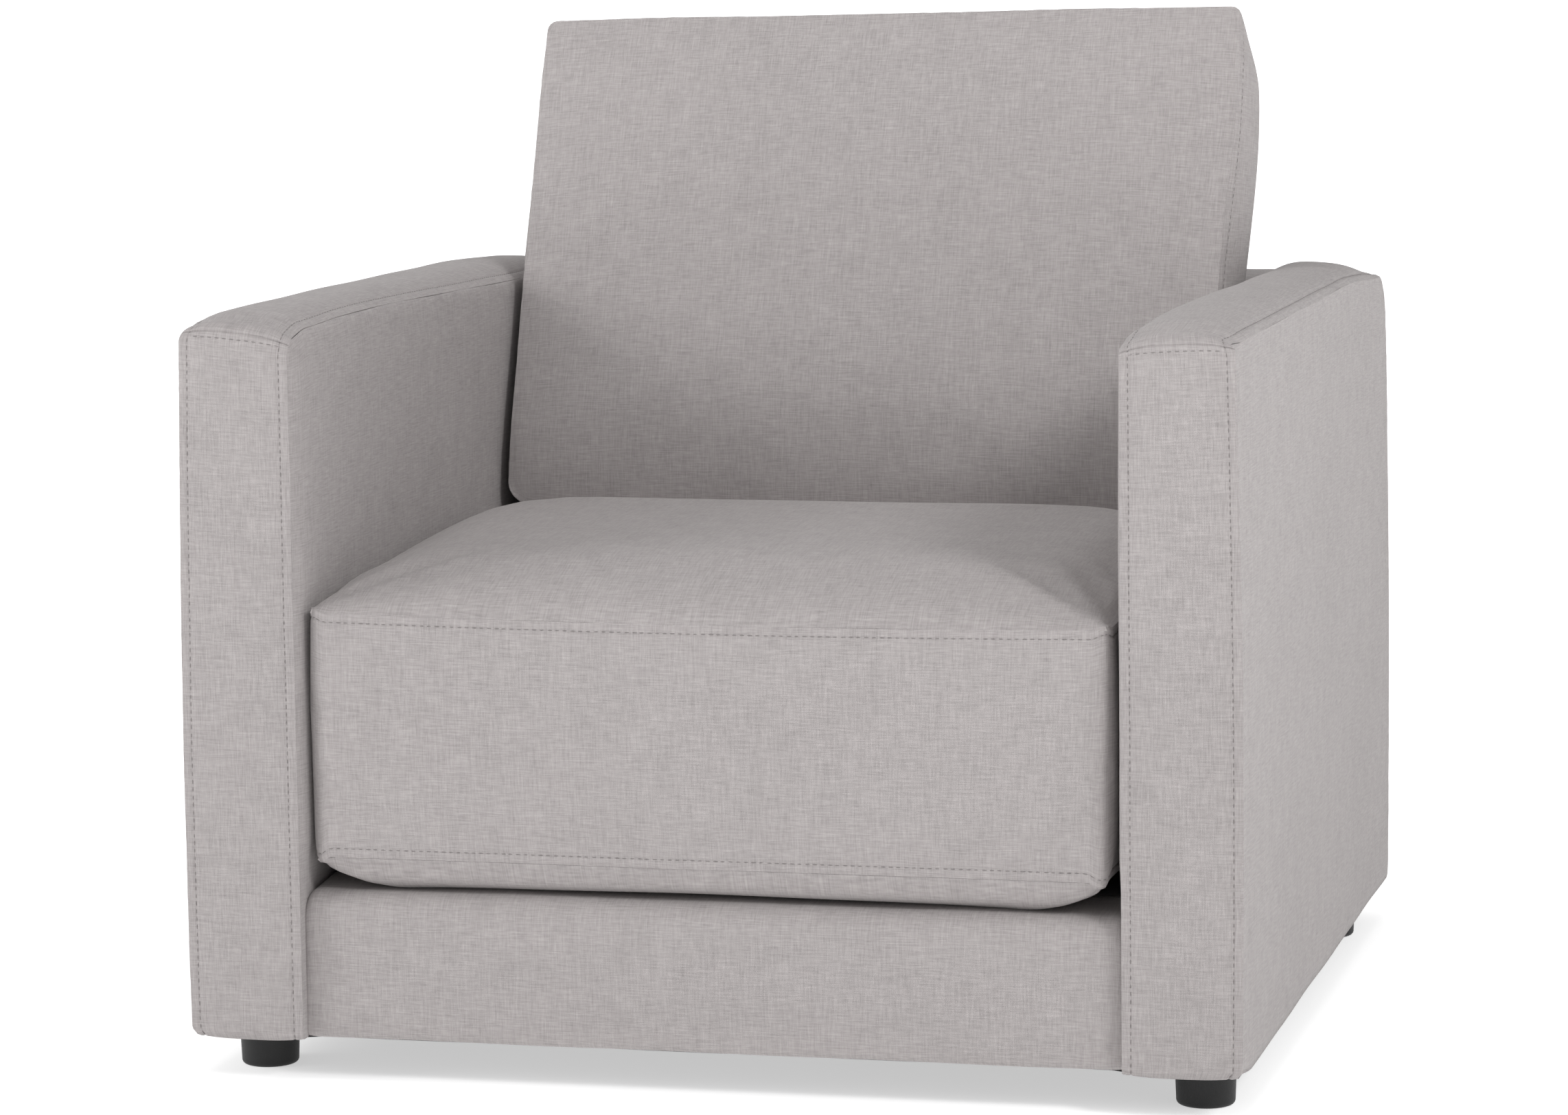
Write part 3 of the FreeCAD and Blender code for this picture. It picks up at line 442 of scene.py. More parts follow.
def unit(v):
    """v / |v|, with a tiny floor so that a still point stays a number."""
    return v / np.maximum(np.linalg.norm(v, axis=-1, keepdims=True), 1e-12)


def grid_faces(rows, columns, start):
    """Corner (i, j) joins (i+1, j), (i+1, j+1) and (i, j+1)."""
    first = np.arange(rows - 1)[:, None] * columns + np.arange(columns - 1)[None, :]
    first = first.ravel() + start
    return np.stack([first, first + columns, first + columns + 1, first + 1], axis=1)


def fill_mesh(name, points, corners, starts):
    """A mesh from arrays: the corners of all faces in one row, and where each face starts in it."""
    mesh = bpy.data.meshes.new(name)
    mesh.vertices.add(len(points))
    mesh.vertices.foreach_set("co", points.astype(np.float32).ravel())
    mesh.loops.add(len(corners))
    mesh.loops.foreach_set("vertex_index", corners.astype(np.int32))
    mesh.polygons.add(len(starts))
    mesh.polygons.foreach_set("loop_start", starts.astype(np.int32))
    mesh.polygons.foreach_set("use_smooth", np.ones(len(starts), dtype=bool))
    mesh.update(calc_edges=True)
    return mesh


def build_mesh(name, grids, maps, heart, weld=1e-6):
    """One mesh from several grids of points (m, n, 3) and cloth coordinates (m, n, 2).

    Each grid's faces are turned so that, summed over the grid, they look away from the heart."""
    faces, start = [], 0
    for grid in grids:
        made = grid_faces(grid.shape[0], grid.shape[1], start)
        corners = grid.reshape(-1, 3)[made - start]
        crossed = np.cross(corners[:, 2] - corners[:, 0], corners[:, 3] - corners[:, 1])
        if (crossed * (corners.mean(axis=1) - np.asarray(heart))).sum() < 0:
            made = made[:, ::-1]
        faces.append(made)
        start += grid.shape[0] * grid.shape[1]
    points = np.concatenate([grid.reshape(-1, 3) for grid in grids])
    cloth = np.concatenate([chart.reshape(-1, 2) for chart in maps])
    faces = np.concatenate(faces)
    mesh = fill_mesh(name, points, faces.ravel(), np.arange(len(faces)) * 4)
    chart = mesh.uv_layers.new(name=CLOTH_MAP)
    chart.data.foreach_set("uv", cloth[faces.ravel()].astype(np.float32).ravel())
    mesh.validate()
    work = bmesh.new()
    work.from_mesh(mesh)
    bmesh.ops.remove_doubles(work, verts=work.verts, dist=weld)
    work.to_mesh(mesh)
    work.free()
    return mesh


def add_piece(name, mesh, finish, body, stands_for=(), thick=0.0):
    """Puts the mesh in the scene as a piece that rides on a body; thick gives the cloth its thickness."""
    mesh.materials.clear()
    mesh.materials.append(finish)
    piece = bpy.data.objects.new(name, mesh)
    bpy.context.collection.objects.link(piece)
    if thick:
        wall = piece.modifiers.new("cloth thickness", "SOLIDIFY")
        wall.thickness = thick
        wall.offset = -1.0
    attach(piece, body)
    if stands_for:
        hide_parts(*stands_for)
    print(name + ":", len(mesh.vertices), "points,", len(mesh.polygons), "faces")
    return piece


def spread_lines(length, fine, coarse, near=60 * MM):
    """Distances from 0 to length, fine apart at both ends and coarse in the middle."""
    places = [0.0]
    while places[-1] < length / 2:
        places.append(places[-1] + fine + (coarse - fine) * float(smooth(places[-1] / near)))
    half = np.array(places) * (length / 2) / places[-1]
    return np.concatenate([half, length - half[-2::-1]])


# %% [markdown]
# ## Sewn panels
# Two panels are sewn right sides together and turned out, so at a seam each one rolls over a
# small radius and both dive into the same thin crease. A second row of stitches, the
# topstitch, holds the hidden allowance flat 7.5 mm beside the seam: the cloth is a little
# raised between the two rows and dented under the stitches. All of that depends only on the
# distance to the seam, so one class adds it to any sheet. Each piece is cut from its own part
# of the cloth, so its map starts some metres further on than its neighbour's.

# %% The panel class
ROLL = 0.26 * MM
BAND = 7.5 * MM
CLOTH_THICK = 1.2 * MM
CLOTH_STARTS = {
    "arm": 3.0,
    "front rail": 7.0,
    "inner back": 11.0,
    "gusset": 15.0,
    "outer back": 17.0,
    "seat cushion": 21.0,
    "back cushion": 41.0,
    "deck": 61.0,
    "dust cover": 71.0,
    "webbing": 81.0,
}
PANEL_STEP = 1.7
SEAM_LINES = np.array([-4.0, -0.6, 0.0, 0.1, 0.2, 0.3, 1.0, 2.4, 4.2, 6.0, 6.9, 7.5, 8.1, 9.4, 11.5]) * MM


def seam_ripple(place, phase):
    """Uneven pull of the stitches: two sine waves of 13 and 31 mm along the seam, multiplied."""
    return np.sin(place / (13 * MM) * 2 * np.pi + phase) * np.sin(place / (31 * MM) * 2 * np.pi + 2.3 * phase)


class Panel:
    """A sheet of cloth with sewn edges.

    sheet(a, b) gives the plain surface for distances a and b in metres; sewn names the edges
    that end in a seam: w and e are low and high a, s and n are low and high b. stitched names
    the edges that have a topstitch. relief(a, b) adds height along the outward normal, and
    press(points) moves finished points to where something presses on them."""

    def __init__(
        self, sheet, width, length, heart, sewn="wens", stitched="", relief=None, phase=0.0, press=None
    ):
        self.sheet, self.width, self.length, self.press = sheet, width, length, press
        self.sewn, self.stitched, self.relief, self.phase = sewn, stitched, relief, phase
        self.sign = 1.0
        middle_a, middle_b = np.array([width * 0.5]), np.array([length * 0.5])
        from_heart = sheet(middle_a, middle_b)[0] - np.asarray(heart)
        self.sign = 1.0 if self.plain_normal(middle_a, middle_b)[0] @ from_heart > 0 else -1.0

    def plain_normal(self, a, b, step=0.5 * MM):
        """Cross product of the slopes along a and b, of length 1."""
        slope_a = self.sheet(np.minimum(a + step, self.width), b) - self.sheet(np.maximum(a - step, 0), b)
        slope_b = self.sheet(a, np.minimum(b + step, self.length)) - self.sheet(a, np.maximum(b - step, 0))
        return unit(np.cross(slope_a, slope_b)) * self.sign

    def edge(self, distance, along, stitched):
        """(side step, height) at a distance from one sewn edge.

        In the roll the angle goes from 90 to 0 degrees: step = 1.3r - r sin, depth = r (1 - cos)."""
        turn = (1.0 - np.clip(distance / ROLL, 0.0, 1.0)) * np.pi / 2
        inside = np.clip(distance, 0.0, None)
        step = np.where(distance < ROLL, 1.3 * ROLL - ROLL * np.sin(turn) - inside, 0.3 * ROLL)
        step = step * (1.0 - smooth((inside - ROLL) / (20 * MM)))
        height = -ROLL * (1.0 - np.cos(turn)) + np.minimum(distance, 0.0)
        ripple = seam_ripple(along, self.phase)
        height = height - 0.22 * MM * (1.0 + ripple) * bell((inside - 4 * MM) / (7 * MM))
        if stitched:
            height = height + 0.45 * MM * bell((inside - 4.2 * MM) / (2.6 * MM))
            height = height - 0.75 * MM * bell((inside - BAND) / (1.0 * MM))
        return step, height

    def skin(self, a, b):
        """The finished surface: the sheet, side-stepped and raised by the seams and the relief."""
        a, b = np.broadcast_arrays(np.asarray(a, float), np.asarray(b, float))
        place_a, place_b = np.clip(a, 0, self.width), np.clip(b, 0, self.length)
        height = np.zeros(a.shape)
        lows = [np.zeros(a.shape)]
        edges = {"w": (a, b), "e": (self.width - a, b), "s": (b, a), "n": (self.length - b, a)}
        for name, (distance, along) in edges.items():
            if name not in self.sewn:
                continue
            step, rise = self.edge(distance, along, name in self.stitched)
            lows.append(np.minimum(rise, 0.0))
            height = height + np.maximum(rise, 0.0)
            if name == "w":
                place_a = place_a + step
            elif name == "e":
                place_a = place_a - step
            elif name == "s":
                place_b = place_b + step
            else:
                place_b = place_b - step
        height = height + np.min(lows, axis=0)
        if self.relief is not None:
            height = height + self.relief(place_a, place_b)
        points = self.sheet(place_a, place_b) + self.plain_normal(place_a, place_b) * height[..., None]
        return points if self.press is None else self.press(points)

    def lines(self, length, low, high, spacing):
        """Grid lines: close together at sewn edges, spacing apart elsewhere."""
        start = SEAM_LINES if low else np.array([0.0])
        end = length - SEAM_LINES[::-1] if high else np.array([length])
        count = max(int(round((end[0] - start[-1]) / spacing)), 2)
        return np.concatenate([start[:-1], np.linspace(start[-1], end[0], count + 1), end[1:]])

    def grid(self, spacing, extra_a=(), extra_b=()):
        """Points and cloth distances of the finished surface at every crossing of its grid lines."""
        lines_a = self.lines(self.width, "w" in self.sewn, "e" in self.sewn, spacing)
        lines_b = self.lines(self.length, "s" in self.sewn, "n" in self.sewn, spacing)
        lines_a = np.unique(np.concatenate([lines_a, extra_a]))
        lines_b = np.unique(np.concatenate([lines_b, extra_b]))
        a, b = np.meshgrid(lines_a, lines_b, indexing="ij")
        return self.skin(a, b), np.stack([a, b], axis=-1)

    def normal(self, a, b, step=0.8 * MM):
        """Outward normal of the finished surface."""
        slope_a = self.skin(a + step, b) - self.skin(a - step, b)
        slope_b = self.skin(a, b + step) - self.skin(a, b - step)
        return unit(np.cross(slope_a, slope_b)) * self.sign


def add_cover(name, panel, spacing, cloth_start, heart, stands_for=(), extra_a=(), extra_b=()):
    """One linen panel as a piece of the frame."""
    grid, chart = panel.grid(spacing, extra_a, extra_b)
    mesh = build_mesh(name, [grid], [chart + cloth_start], heart)
    return add_piece(name, mesh, linen, "frame", stands_for, CLOTH_THICK)


print("a seam rolls over", ROLL / MM, "mm and its topstitch is", BAND / MM, "mm beside it")

# %% [markdown]
# ## Stitches
# A lock stitch shows as a short dash of thread that dips into the cloth at both ends. Each
# dash is a bent six-sided tube of 24 faces and two ends: enough for a shape less than a
# millimetre thick that is repeated by the thousand.

# %% Stitch helper
STITCH_PITCH = 6.6 * MM
STITCH_LENGTH = 4.7 * MM
STITCH_RADIUS = 0.32 * MM
STITCH_WANDER = 0.35 * MM
STITCH_UNEVEN = 0.10


def stitch_tubes(panel, a, b, next_a, next_b):
    """Tubes on panel from (a, b) to (next_a, next_b): centre = chord + normal * arch, arch = 1 - (2t-1)^2."""
    start, end = panel.skin(a, b), panel.skin(next_a, next_b)
    up = panel.normal((a + next_a) / 2, (b + next_b) / 2)
    ahead = unit(end - start)
    side = unit(np.cross(up, ahead))
    t = np.array([0.0, 0.25, 0.5, 0.75, 1.0])[None, :, None]
    arch = 1.0 - (2.0 * t - 1.0) ** 2
    centre = start[:, None] + (end - start)[:, None] * t
    centre = centre + up[:, None] * (arch * 0.55 - 0.30) * MM
    radius = STITCH_RADIUS * np.array([0.55, 1.0, 1.0, 1.0, 0.55])[None, :, None, None]
    turn = (np.arange(6) * np.pi / 3)[None, None, :, None]
    ring = np.cos(turn) * side[:, None, None] + np.sin(turn) * up[:, None, None]
    return centre[:, :, None] + ring * radius


def tube_mesh(name, tubes):
    """Closes each tube of rings (k, rings, sides, 3) with quads along it and a cap at both ends."""
    count, rings, sides = tubes.shape[:3]
    base = np.arange(count)[:, None, None] * rings * sides
    ring = np.arange(rings - 1)[None, :, None] * sides
    side = np.arange(sides)[None, None, :]
    after = (side + 1) % sides
    here, ahead = base + ring, base + ring + sides
    quads = np.broadcast_arrays(here + side, here + after, ahead + after, ahead + side)
    quads = np.stack(quads, -1).reshape(-1, 4)
    loop = np.arange(sides)
    first = np.arange(count)[:, None] * rings * sides + loop[::-1][None]
    last = np.arange(count)[:, None] * rings * sides + (rings - 1) * sides + loop[None]
    caps = np.concatenate([first, last])
    points = tubes.reshape(-1, 3)
    corners = points[quads]
    crossed = np.cross(corners[:, 2] - corners[:, 0], corners[:, 3] - corners[:, 1])
    hearts = np.repeat(tubes.reshape(count, -1, 3).mean(axis=1), (rings - 1) * sides, axis=0)
    if (crossed * (corners.mean(axis=1) - hearts)).sum() < 0:
        quads, caps = quads[:, ::-1], caps[:, ::-1]
    starts = np.concatenate([np.arange(len(quads)) * 4, len(quads) * 4 + np.arange(len(caps)) * sides])
    mesh = fill_mesh(name, points, np.concatenate([quads.ravel(), caps.ravel()]), starts)
    mesh.validate()
    return mesh


def stitch_row(panel, edge, low, high, inset=BAND):
    """A row of dashes beside one edge of a panel, from distance low to high along it.

    Their places and lengths wander a little, each with a sine that doesn't repeat with the pitch."""
    starts = np.arange(low, high - STITCH_LENGTH, STITCH_PITCH)
    starts = starts + STITCH_WANDER * np.sin(starts * 911.0)
    ends = starts + STITCH_LENGTH * (1.0 + STITCH_UNEVEN * np.sin(starts * 577.0))
    if edge in "sn":
        level = inset if edge == "s" else panel.length - inset
        return stitch_tubes(panel, starts, np.full(starts.shape, level), ends, np.full(starts.shape, level))
    level = inset if edge == "w" else panel.width - inset
    return stitch_tubes(panel, np.full(starts.shape, level), starts, np.full(starts.shape, level), ends)


def add_stitches(name, rows, body):
    """Rows of stitches as one piece of thread."""
    mesh = tube_mesh(name, np.concatenate(rows))
    add_piece(name, mesh, thread, body)


# %% [markdown]
# ## The arms
# An arm is a slab: a flat outer panel, a flat inner panel that is thicker with foam, and one
# long boxing strip that goes up the front, along the top, round the large rear corner and
# down the back. The two side panels share the same outline in side view, so the boxing is
# simply the strip between their edges, crowned by the foam under it.

# %% Outline of an arm in side view
arm_low, arm_high = (np.array(c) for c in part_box("left_arm_outer_cover"))
inner_low = np.array(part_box("left_arm_inner_cover")[0])
ARM_FRONT, ARM_REAR = arm_low[1], arm_high[1]
ARM_BASE = arm_low[2]
ARM_SEAM_TOP = arm_high[2] - 12 * MM
ARM_DEPTH = ARM_REAR - ARM_FRONT
ARM_RISE = ARM_SEAM_TOP - ARM_BASE
ARM_OUTSIDE, ARM_INSIDE = arm_high[0], inner_low[0]
ARM_CORNERS = {"rear top": 38 * MM, "rear base": 14 * MM, "front base": 4 * MM}
OUTER_CORNER = 11 * MM
INNER_CORNER = 15 * MM


def round_corner(a, b, corner_a, corner_b, way_a, way_b, radius):
    """In one corner square of side radius, (p, q) goes to (p, q) max(p, q) / |(p, q)|.

    That makes the square a quarter disc."""
    centre_a, centre_b = corner_a - way_a * radius, corner_b - way_b * radius
    p, q = way_a * (a - centre_a), way_b * (b - centre_b)
    inside = (p > 0) & (q > 0)
    shrink = np.where(inside, np.maximum(p, q) / np.maximum(np.hypot(p, q), 1e-9), 1.0)
    round_a, round_b = centre_a + way_a * p * shrink, centre_b + way_b * q * shrink
    return np.where(inside, round_a, a), np.where(inside, round_b, b)


def arm_outline(a, b, front_top):
    """Side view of the slab: distances a from the front and b from the base, with its corners rounded."""
    a, b = round_corner(a, b, 0.0, ARM_RISE, -1, 1, front_top)
    a, b = round_corner(a, b, ARM_DEPTH, ARM_RISE, 1, 1, ARM_CORNERS["rear top"])
    a, b = round_corner(a, b, ARM_DEPTH, 0.0, 1, -1, ARM_CORNERS["rear base"])
    return round_corner(a, b, 0.0, 0.0, -1, -1, ARM_CORNERS["front base"])


def outer_sheet(side):
    """x = 447.8 mm + 4.7 + 7.3 s - 12 s^2 for the share s of the height, less two rounded front corners.

    The top edge of the sitter's right arm stands 5 mm higher than that of the left arm."""

    def sheet(a, b):
        a, b = arm_outline(a, b, OUTER_CORNER)
        share = b / ARM_RISE
        swell = (4.7 + 7.3 * share - 12.0 * share ** 2) * MM
        near_front = 1 - smooth(a / (45 * MM))
        top_corner = 7 * MM * (1 - quarter((ARM_RISE - b) / (10 * MM)))
        base_corner = 8 * MM * (1 - quarter(b / (9 * MM)))
        x = ARM_OUTSIDE - 2.2 * MM + swell - near_front * (top_corner + base_corner)
        right_arm_lift = 2.5 * MM * (1 - side)
        lift = right_arm_lift + 2 * MM * (1 - smooth(a / 0.60)) - 10 * MM * smooth((a - 0.62) / 0.26)
        return np.stack([side * x, ARM_FRONT + a, ARM_BASE + b + lift * share ** 4], axis=-1)

    return sheet


def inner_sheet(side):
    """x = inside - foam swell, soft in front and round elsewhere.

    The top seam rises behind the front corner and sinks again towards the rear."""

    def sheet(a, b):
        a, b = arm_outline(a, b, INNER_CORNER)
        z = ARM_BASE + b
        below_top, to_rear = ARM_RISE - b, ARM_DEPTH - a
        lift = -2 * MM + 7 * MM * smooth(a / 0.05) + 2 * MM * smooth((a - 0.05) / 0.10)
        lift = lift - 9 * MM * smooth((a - 0.22) / 0.50)
        from_front = 1 - (1 - np.clip(a / (24 * MM), 0, 1)) ** 2
        edge_swell = from_front * quarter(to_rear / (9 * MM)) * quarter(below_top / (14 * MM))
        slow_swell = smooth(a / (45 * MM)) * smooth(to_rear / (45 * MM)) * smooth(below_top / (45 * MM))
        above_seat_box = smooth((z - 0.165) / 0.05)
        x = ARM_INSIDE - 0.5 * MM - (3.5 * MM * edge_swell + 2 * MM * slow_swell) * above_seat_box
        return np.stack([side * x, ARM_FRONT + a, z + lift * (b / ARM_RISE) ** 4], axis=-1)

    return sheet


BOXING_RUN = 2 * ARM_RISE + ARM_DEPTH
BOXING_WIDTH = ARM_OUTSIDE - ARM_INSIDE


def boxing_sheet(side):
    """P = inner edge (1-t) + outer edge t + outward * crown * (1 - |2t-1|^2.9), run up, back and down.

    The crown is 3.5 mm up the front and grows on top from 9.8 to 13.8 mm behind the front corner."""
    inner, outer = inner_sheet(side), outer_sheet(side)

    def edge_place(s):
        a = np.clip(s - ARM_RISE, 0, ARM_DEPTH)
        b = np.clip(np.minimum(s, BOXING_RUN - s), 0, ARM_RISE)
        return a, b

    def sheet(s, w):
        s, w = np.broadcast_arrays(s, w)
        t = (w / BOXING_WIDTH)[..., None]
        a, b = edge_place(s)
        low = edge_place(np.clip(s - 1.5 * MM, 0, BOXING_RUN))
        high = edge_place(np.clip(s + 1.5 * MM, 0, BOXING_RUN))
        way = unit((inner(*high) + outer(*high)) - (inner(*low) + outer(*low)))
        outward = np.stack([np.zeros(s.shape), -way[..., 2], way[..., 1]], axis=-1)
        on_top = smooth((s - ARM_RISE + 10 * MM) / 0.014) * smooth((ARM_RISE + ARM_DEPTH - 0.02 - s) / 0.09)
        behind_corner = smooth((s - ARM_RISE) / 0.06)
        crown = (3.5 * MM + on_top * (6.3 * MM + 4 * MM * behind_corner))[..., None]
        profile = 1 - np.abs(2 * t - 1) ** 2.9
        return inner(a, b) * (1 - t) + outer(a, b) * t + unit(outward) * crown * profile

    return sheet


def slow_waves(a, b, phase):
    """Gentle unevenness of foam under cloth: three long sine waves, together under a millimetre."""
    wave = np.sin(a * 17.0 + phase) * np.sin(b * 13.0 + 2 * phase)
    wave = wave + 0.6 * np.sin(a * 31.0 + b * 23.0 + 3 * phase)
    return 0.40 * MM * wave


print("arm boxing is", round(BOXING_WIDTH / MM), "mm wide and", round(BOXING_RUN, 2), "m long")

# %% Sew both arms
CROSS_SEAM_LINES = [-14, -10, -7, -6, -5, -4, -3, -2, -1.2, -0.6, 0, 0.6, 1.2, 2, 4, 7, 10, 14]
CROSS_SEAM_LINES = np.array(CROSS_SEAM_LINES) * MM
ARC_LINES = np.linspace(0, 80, 21) * MM


def sew_arm(name, side):
    """Three panels and their topstitches for one arm."""
    heart = (side * (ARM_OUTSIDE + ARM_INSIDE) / 2, 0.0, 0.34)
    phase = 1.0 + side

    def outer_relief(a, b):
        hollow = -1.1 * MM * bell((a - 27 * MM) / (11 * MM)) * smooth((b - 0.03) / 0.08)
        return hollow + slow_waves(a, b, phase)

    def inner_relief(a, b):
        return slow_waves(a, b, phase + 1.3)

    def boxing_relief(s, w):
        cross_seam = -1.3 * MM * bell((s - ARM_RISE) / (0.8 * MM))
        topstitch = -0.5 * MM * bell((s - ARM_RISE + 5 * MM) / (0.9 * MM))
        return cross_seam + topstitch + slow_waves(s, w * 2, phase + 0.7)

    outer = Panel(outer_sheet(side), ARM_DEPTH, ARM_RISE, heart, "wen", "", outer_relief, phase)
    inner = Panel(inner_sheet(side), ARM_DEPTH, ARM_RISE, heart, "wen", "", inner_relief, phase + 1)
    boxing = Panel(boxing_sheet(side), BOXING_RUN, BOXING_WIDTH, heart, "sn", "sn", boxing_relief, phase + 2)
    arc_a, arc_b = ARM_DEPTH - ARC_LINES, ARM_RISE - ARC_LINES
    for label, panel, nodes, spacing, extra_a, extra_b in [
        ("outer_panel", outer, ["outer_cover"], 8 * MM, arc_a, arc_b),
        ("inner_panel", inner, ["inner_cover", "inner_foam"], 8 * MM, arc_a, arc_b),
        ("boxing_panel", boxing, ["boxing", "edge_foam"], 6 * MM, ARM_RISE + CROSS_SEAM_LINES, ()),
    ]:
        stands_for = [name + "_arm_" + node for node in nodes]
        cover = name + "_arm_" + label
        start = side * CLOTH_STARTS["arm"]
        piece = add_cover(cover, panel, spacing, start, heart, stands_for, extra_a, extra_b)
    rows = [stitch_row(boxing, "s", 0.0, BOXING_RUN), stitch_row(boxing, "n", 0.0, BOXING_RUN)]
    across = np.arange(BAND, BOXING_WIDTH - BAND - STITCH_LENGTH, STITCH_PITCH)
    level = np.full(across.shape, ARM_RISE - 5 * MM)
    rows.append(stitch_tubes(boxing, level, across, level, across + STITCH_LENGTH))
    add_stitches(name + "_arm_topstitch", rows, "frame")


sew_arm("left", 1)
sew_arm("right", -1)

# %% [markdown]
# ## Covers that are stretched over rails
# The front rail and the fixed back are covered by sheets that run across the chair and follow
# one profile from front to back. A profile is a few points joined by straight runs and arcs;
# the sheet carries it from arm to arm. A small gusset at each end closes the fixed back where
# it stands out behind the round rear corner of the arm.

# %% Profile helper


def profile_line(corners, radii):
    """Straight runs between the corners, each inner corner replaced by an arc of its radius.

    The arc touches both runs at radius * tan(half turn) from the corner."""
    corners = [np.array(c, float) for c in corners]
    points = [corners[0][None]]
    for before, corner, after, radius in zip(corners, corners[1:], corners[2:], radii):
        into, out = unit(corner - before), unit(after - corner)
        turn = math.acos(float(np.clip(into @ out, -1, 1)))
        reach = radius * math.tan(turn / 2)
        bend = np.sign(into[0] * out[1] - into[1] * out[0])
        left = np.array([-into[1], into[0]]) * bend
        centre = corner - into * reach + left * radius
        angle = np.linspace(0, turn, 12)[:, None]
        points.append(centre - left * radius * np.cos(angle) + into * radius * np.sin(angle))
    points.append(corners[-1][None])
    points = np.concatenate(points)
    lengths = np.concatenate([[0], np.cumsum(np.linalg.norm(np.diff(points, axis=0), axis=1))])
    return points, lengths


def read_profile(profile, distance):
    """(y, z) at a distance along the profile."""
    points, lengths = profile
    y = np.interp(distance, lengths, points[:, 0])
    z = np.interp(distance, lengths, points[:, 1])
    return y, z


# %% Front rail cover
rail_low, rail_high = (np.array(c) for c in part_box("front_rail_cover"))
RAIL_WIDTH = rail_high[0] - rail_low[0] + 3 * MM
RAIL_SINK = 9 * MM
rail_profile = profile_line(
    [
        (rail_low[1] + 22 * MM, rail_low[2] + 1 * MM),
        (rail_low[1], rail_low[2]),
        (rail_low[1], rail_high[2] - RAIL_SINK),
        (rail_high[1] + 30 * MM, rail_high[2] - 1 * MM),
    ],
    [5 * MM, 18 * MM],
)
RAIL_ROUND = 13 * MM


def rail_sheet(a, b):
    """Profile carried across; near the arms its top drops and its face draws back on a quarter ellipse."""
    y, z = read_profile(rail_profile, b)
    x = a - RAIL_WIDTH / 2
    end = np.clip((np.abs(x) - (RAIL_WIDTH / 2 - RAIL_ROUND)) / RAIL_ROUND, 0, 1)
    drop = 1 - np.sqrt(1 - np.minimum(end, 0.9999) ** 2)
    height = np.clip((z - rail_low[2]) / (rail_high[2] - rail_low[2]), 0, 1)
    crown = 2.5 * MM * np.sin(np.pi * height) * (1 - (2 * x / RAIL_WIDTH) ** 2)
    return np.stack([x, y - crown + 3 * MM * drop * height, z - 9 * MM * drop * height ** 2], axis=-1)


def rail_relief(a, b):
    """Slow waves, read at twice the distance from the base, so they are shorter up and down."""
    return slow_waves(a, b * 2, 4.4)


rail_heart = (0.0, -0.38, 0.05)
rail = Panel(rail_sheet, RAIL_WIDTH, rail_profile[1][-1], rail_heart, "", "", rail_relief, 3.0)
rail_end = np.linspace(0, 45, 16) * MM
rail_piece = add_cover(
    "front_rail_panel", rail, 6 * MM, CLOTH_STARTS["front rail"], rail_heart,
    ["front_rail_cover", "front_rail_foam"],
    np.concatenate([rail_end, RAIL_WIDTH - rail_end]), np.linspace(0, 40, 12) * MM,
)

# %% Fixed back covers
back_low, back_high = (np.array(c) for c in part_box("back_inner_cover"))
BACK_WIDTH = back_high[0] - back_low[0] + 3 * MM
BACK_LEAN = math.radians(13.0)
back_top_front = back_low[1] + (back_high[2] - back_low[2]) * math.tan(BACK_LEAN)
inner_back_profile = profile_line(
    [
        (back_low[1], back_low[2] + 0.5 * MM),
        (back_top_front, back_high[2]),
        (back_high[1] - 1 * MM, back_high[2]),
    ],
    [20 * MM],
)


def inner_back_sheet(a, b):
    """Profile carried straight across, from arm to arm."""
    y, z = read_profile(inner_back_profile, b)
    x = a - BACK_WIDTH / 2
    return np.stack([x, y, z], axis=-1)


def inner_back_relief(a, b):
    """Foam under the cover: up to 3 mm on the face and 2.5 mm at the top, none beside the arms."""
    x = a - BACK_WIDTH / 2
    share = np.clip(b / inner_back_profile[1][-1], 0, 1)
    side = 1 - np.abs(2 * x / BACK_WIDTH) ** 6
    face = 3 * MM * np.sin(np.pi * np.clip((share - 0.45) / 0.35, 0, 1))
    swell = face + 2.5 * MM * np.sin(np.pi * np.clip((share - 0.8) / 0.2, 0, 1))
    return swell * side + slow_waves(a, b, 5.1)


back_heart = (0.0, 0.40, 0.30)
inner_back = Panel(
    inner_back_sheet, BACK_WIDTH, inner_back_profile[1][-1], back_heart, "n", "n", inner_back_relief, 2.0
)
piece = add_cover(
    "back_inner_panel", inner_back, 8 * MM, CLOTH_STARTS["inner back"], back_heart,
    ["back_inner_cover", "back_foam"],
)

GUSSET_DEPTH = 80 * MM
GUSSET_RISE = 90 * MM


def gusset_sheet(side):
    """Upright sheet at one end of the fixed back, with a crown of 1.5 mm outwards."""

    def sheet(a, b):
        crown = 1.5 * MM * np.sin(np.pi * np.clip(a / GUSSET_DEPTH, 0, 1))
        x = side * (BACK_WIDTH / 2 + crown)
        return np.stack([x, back_high[1] - GUSSET_DEPTH + a, back_high[2] - GUSSET_RISE + b], axis=-1)

    return sheet


def gusset_relief(a, b):
    """Slow waves only."""
    return slow_waves(a, b, 2.9)


for name, side in (("left", 1), ("right", -1)):
    gusset = Panel(
        gusset_sheet(side), GUSSET_DEPTH, GUSSET_RISE, back_heart, "ne", "", gusset_relief
    )
    start = CLOTH_STARTS["gusset"] + side
    piece = add_cover(name + "_back_gusset", gusset, 6 * MM, start, back_heart)

outer_back_low, outer_back_high = (np.array(c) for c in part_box("back_outer_cover"))
OUTER_BACK_RISE = back_high[2] - outer_back_low[2]


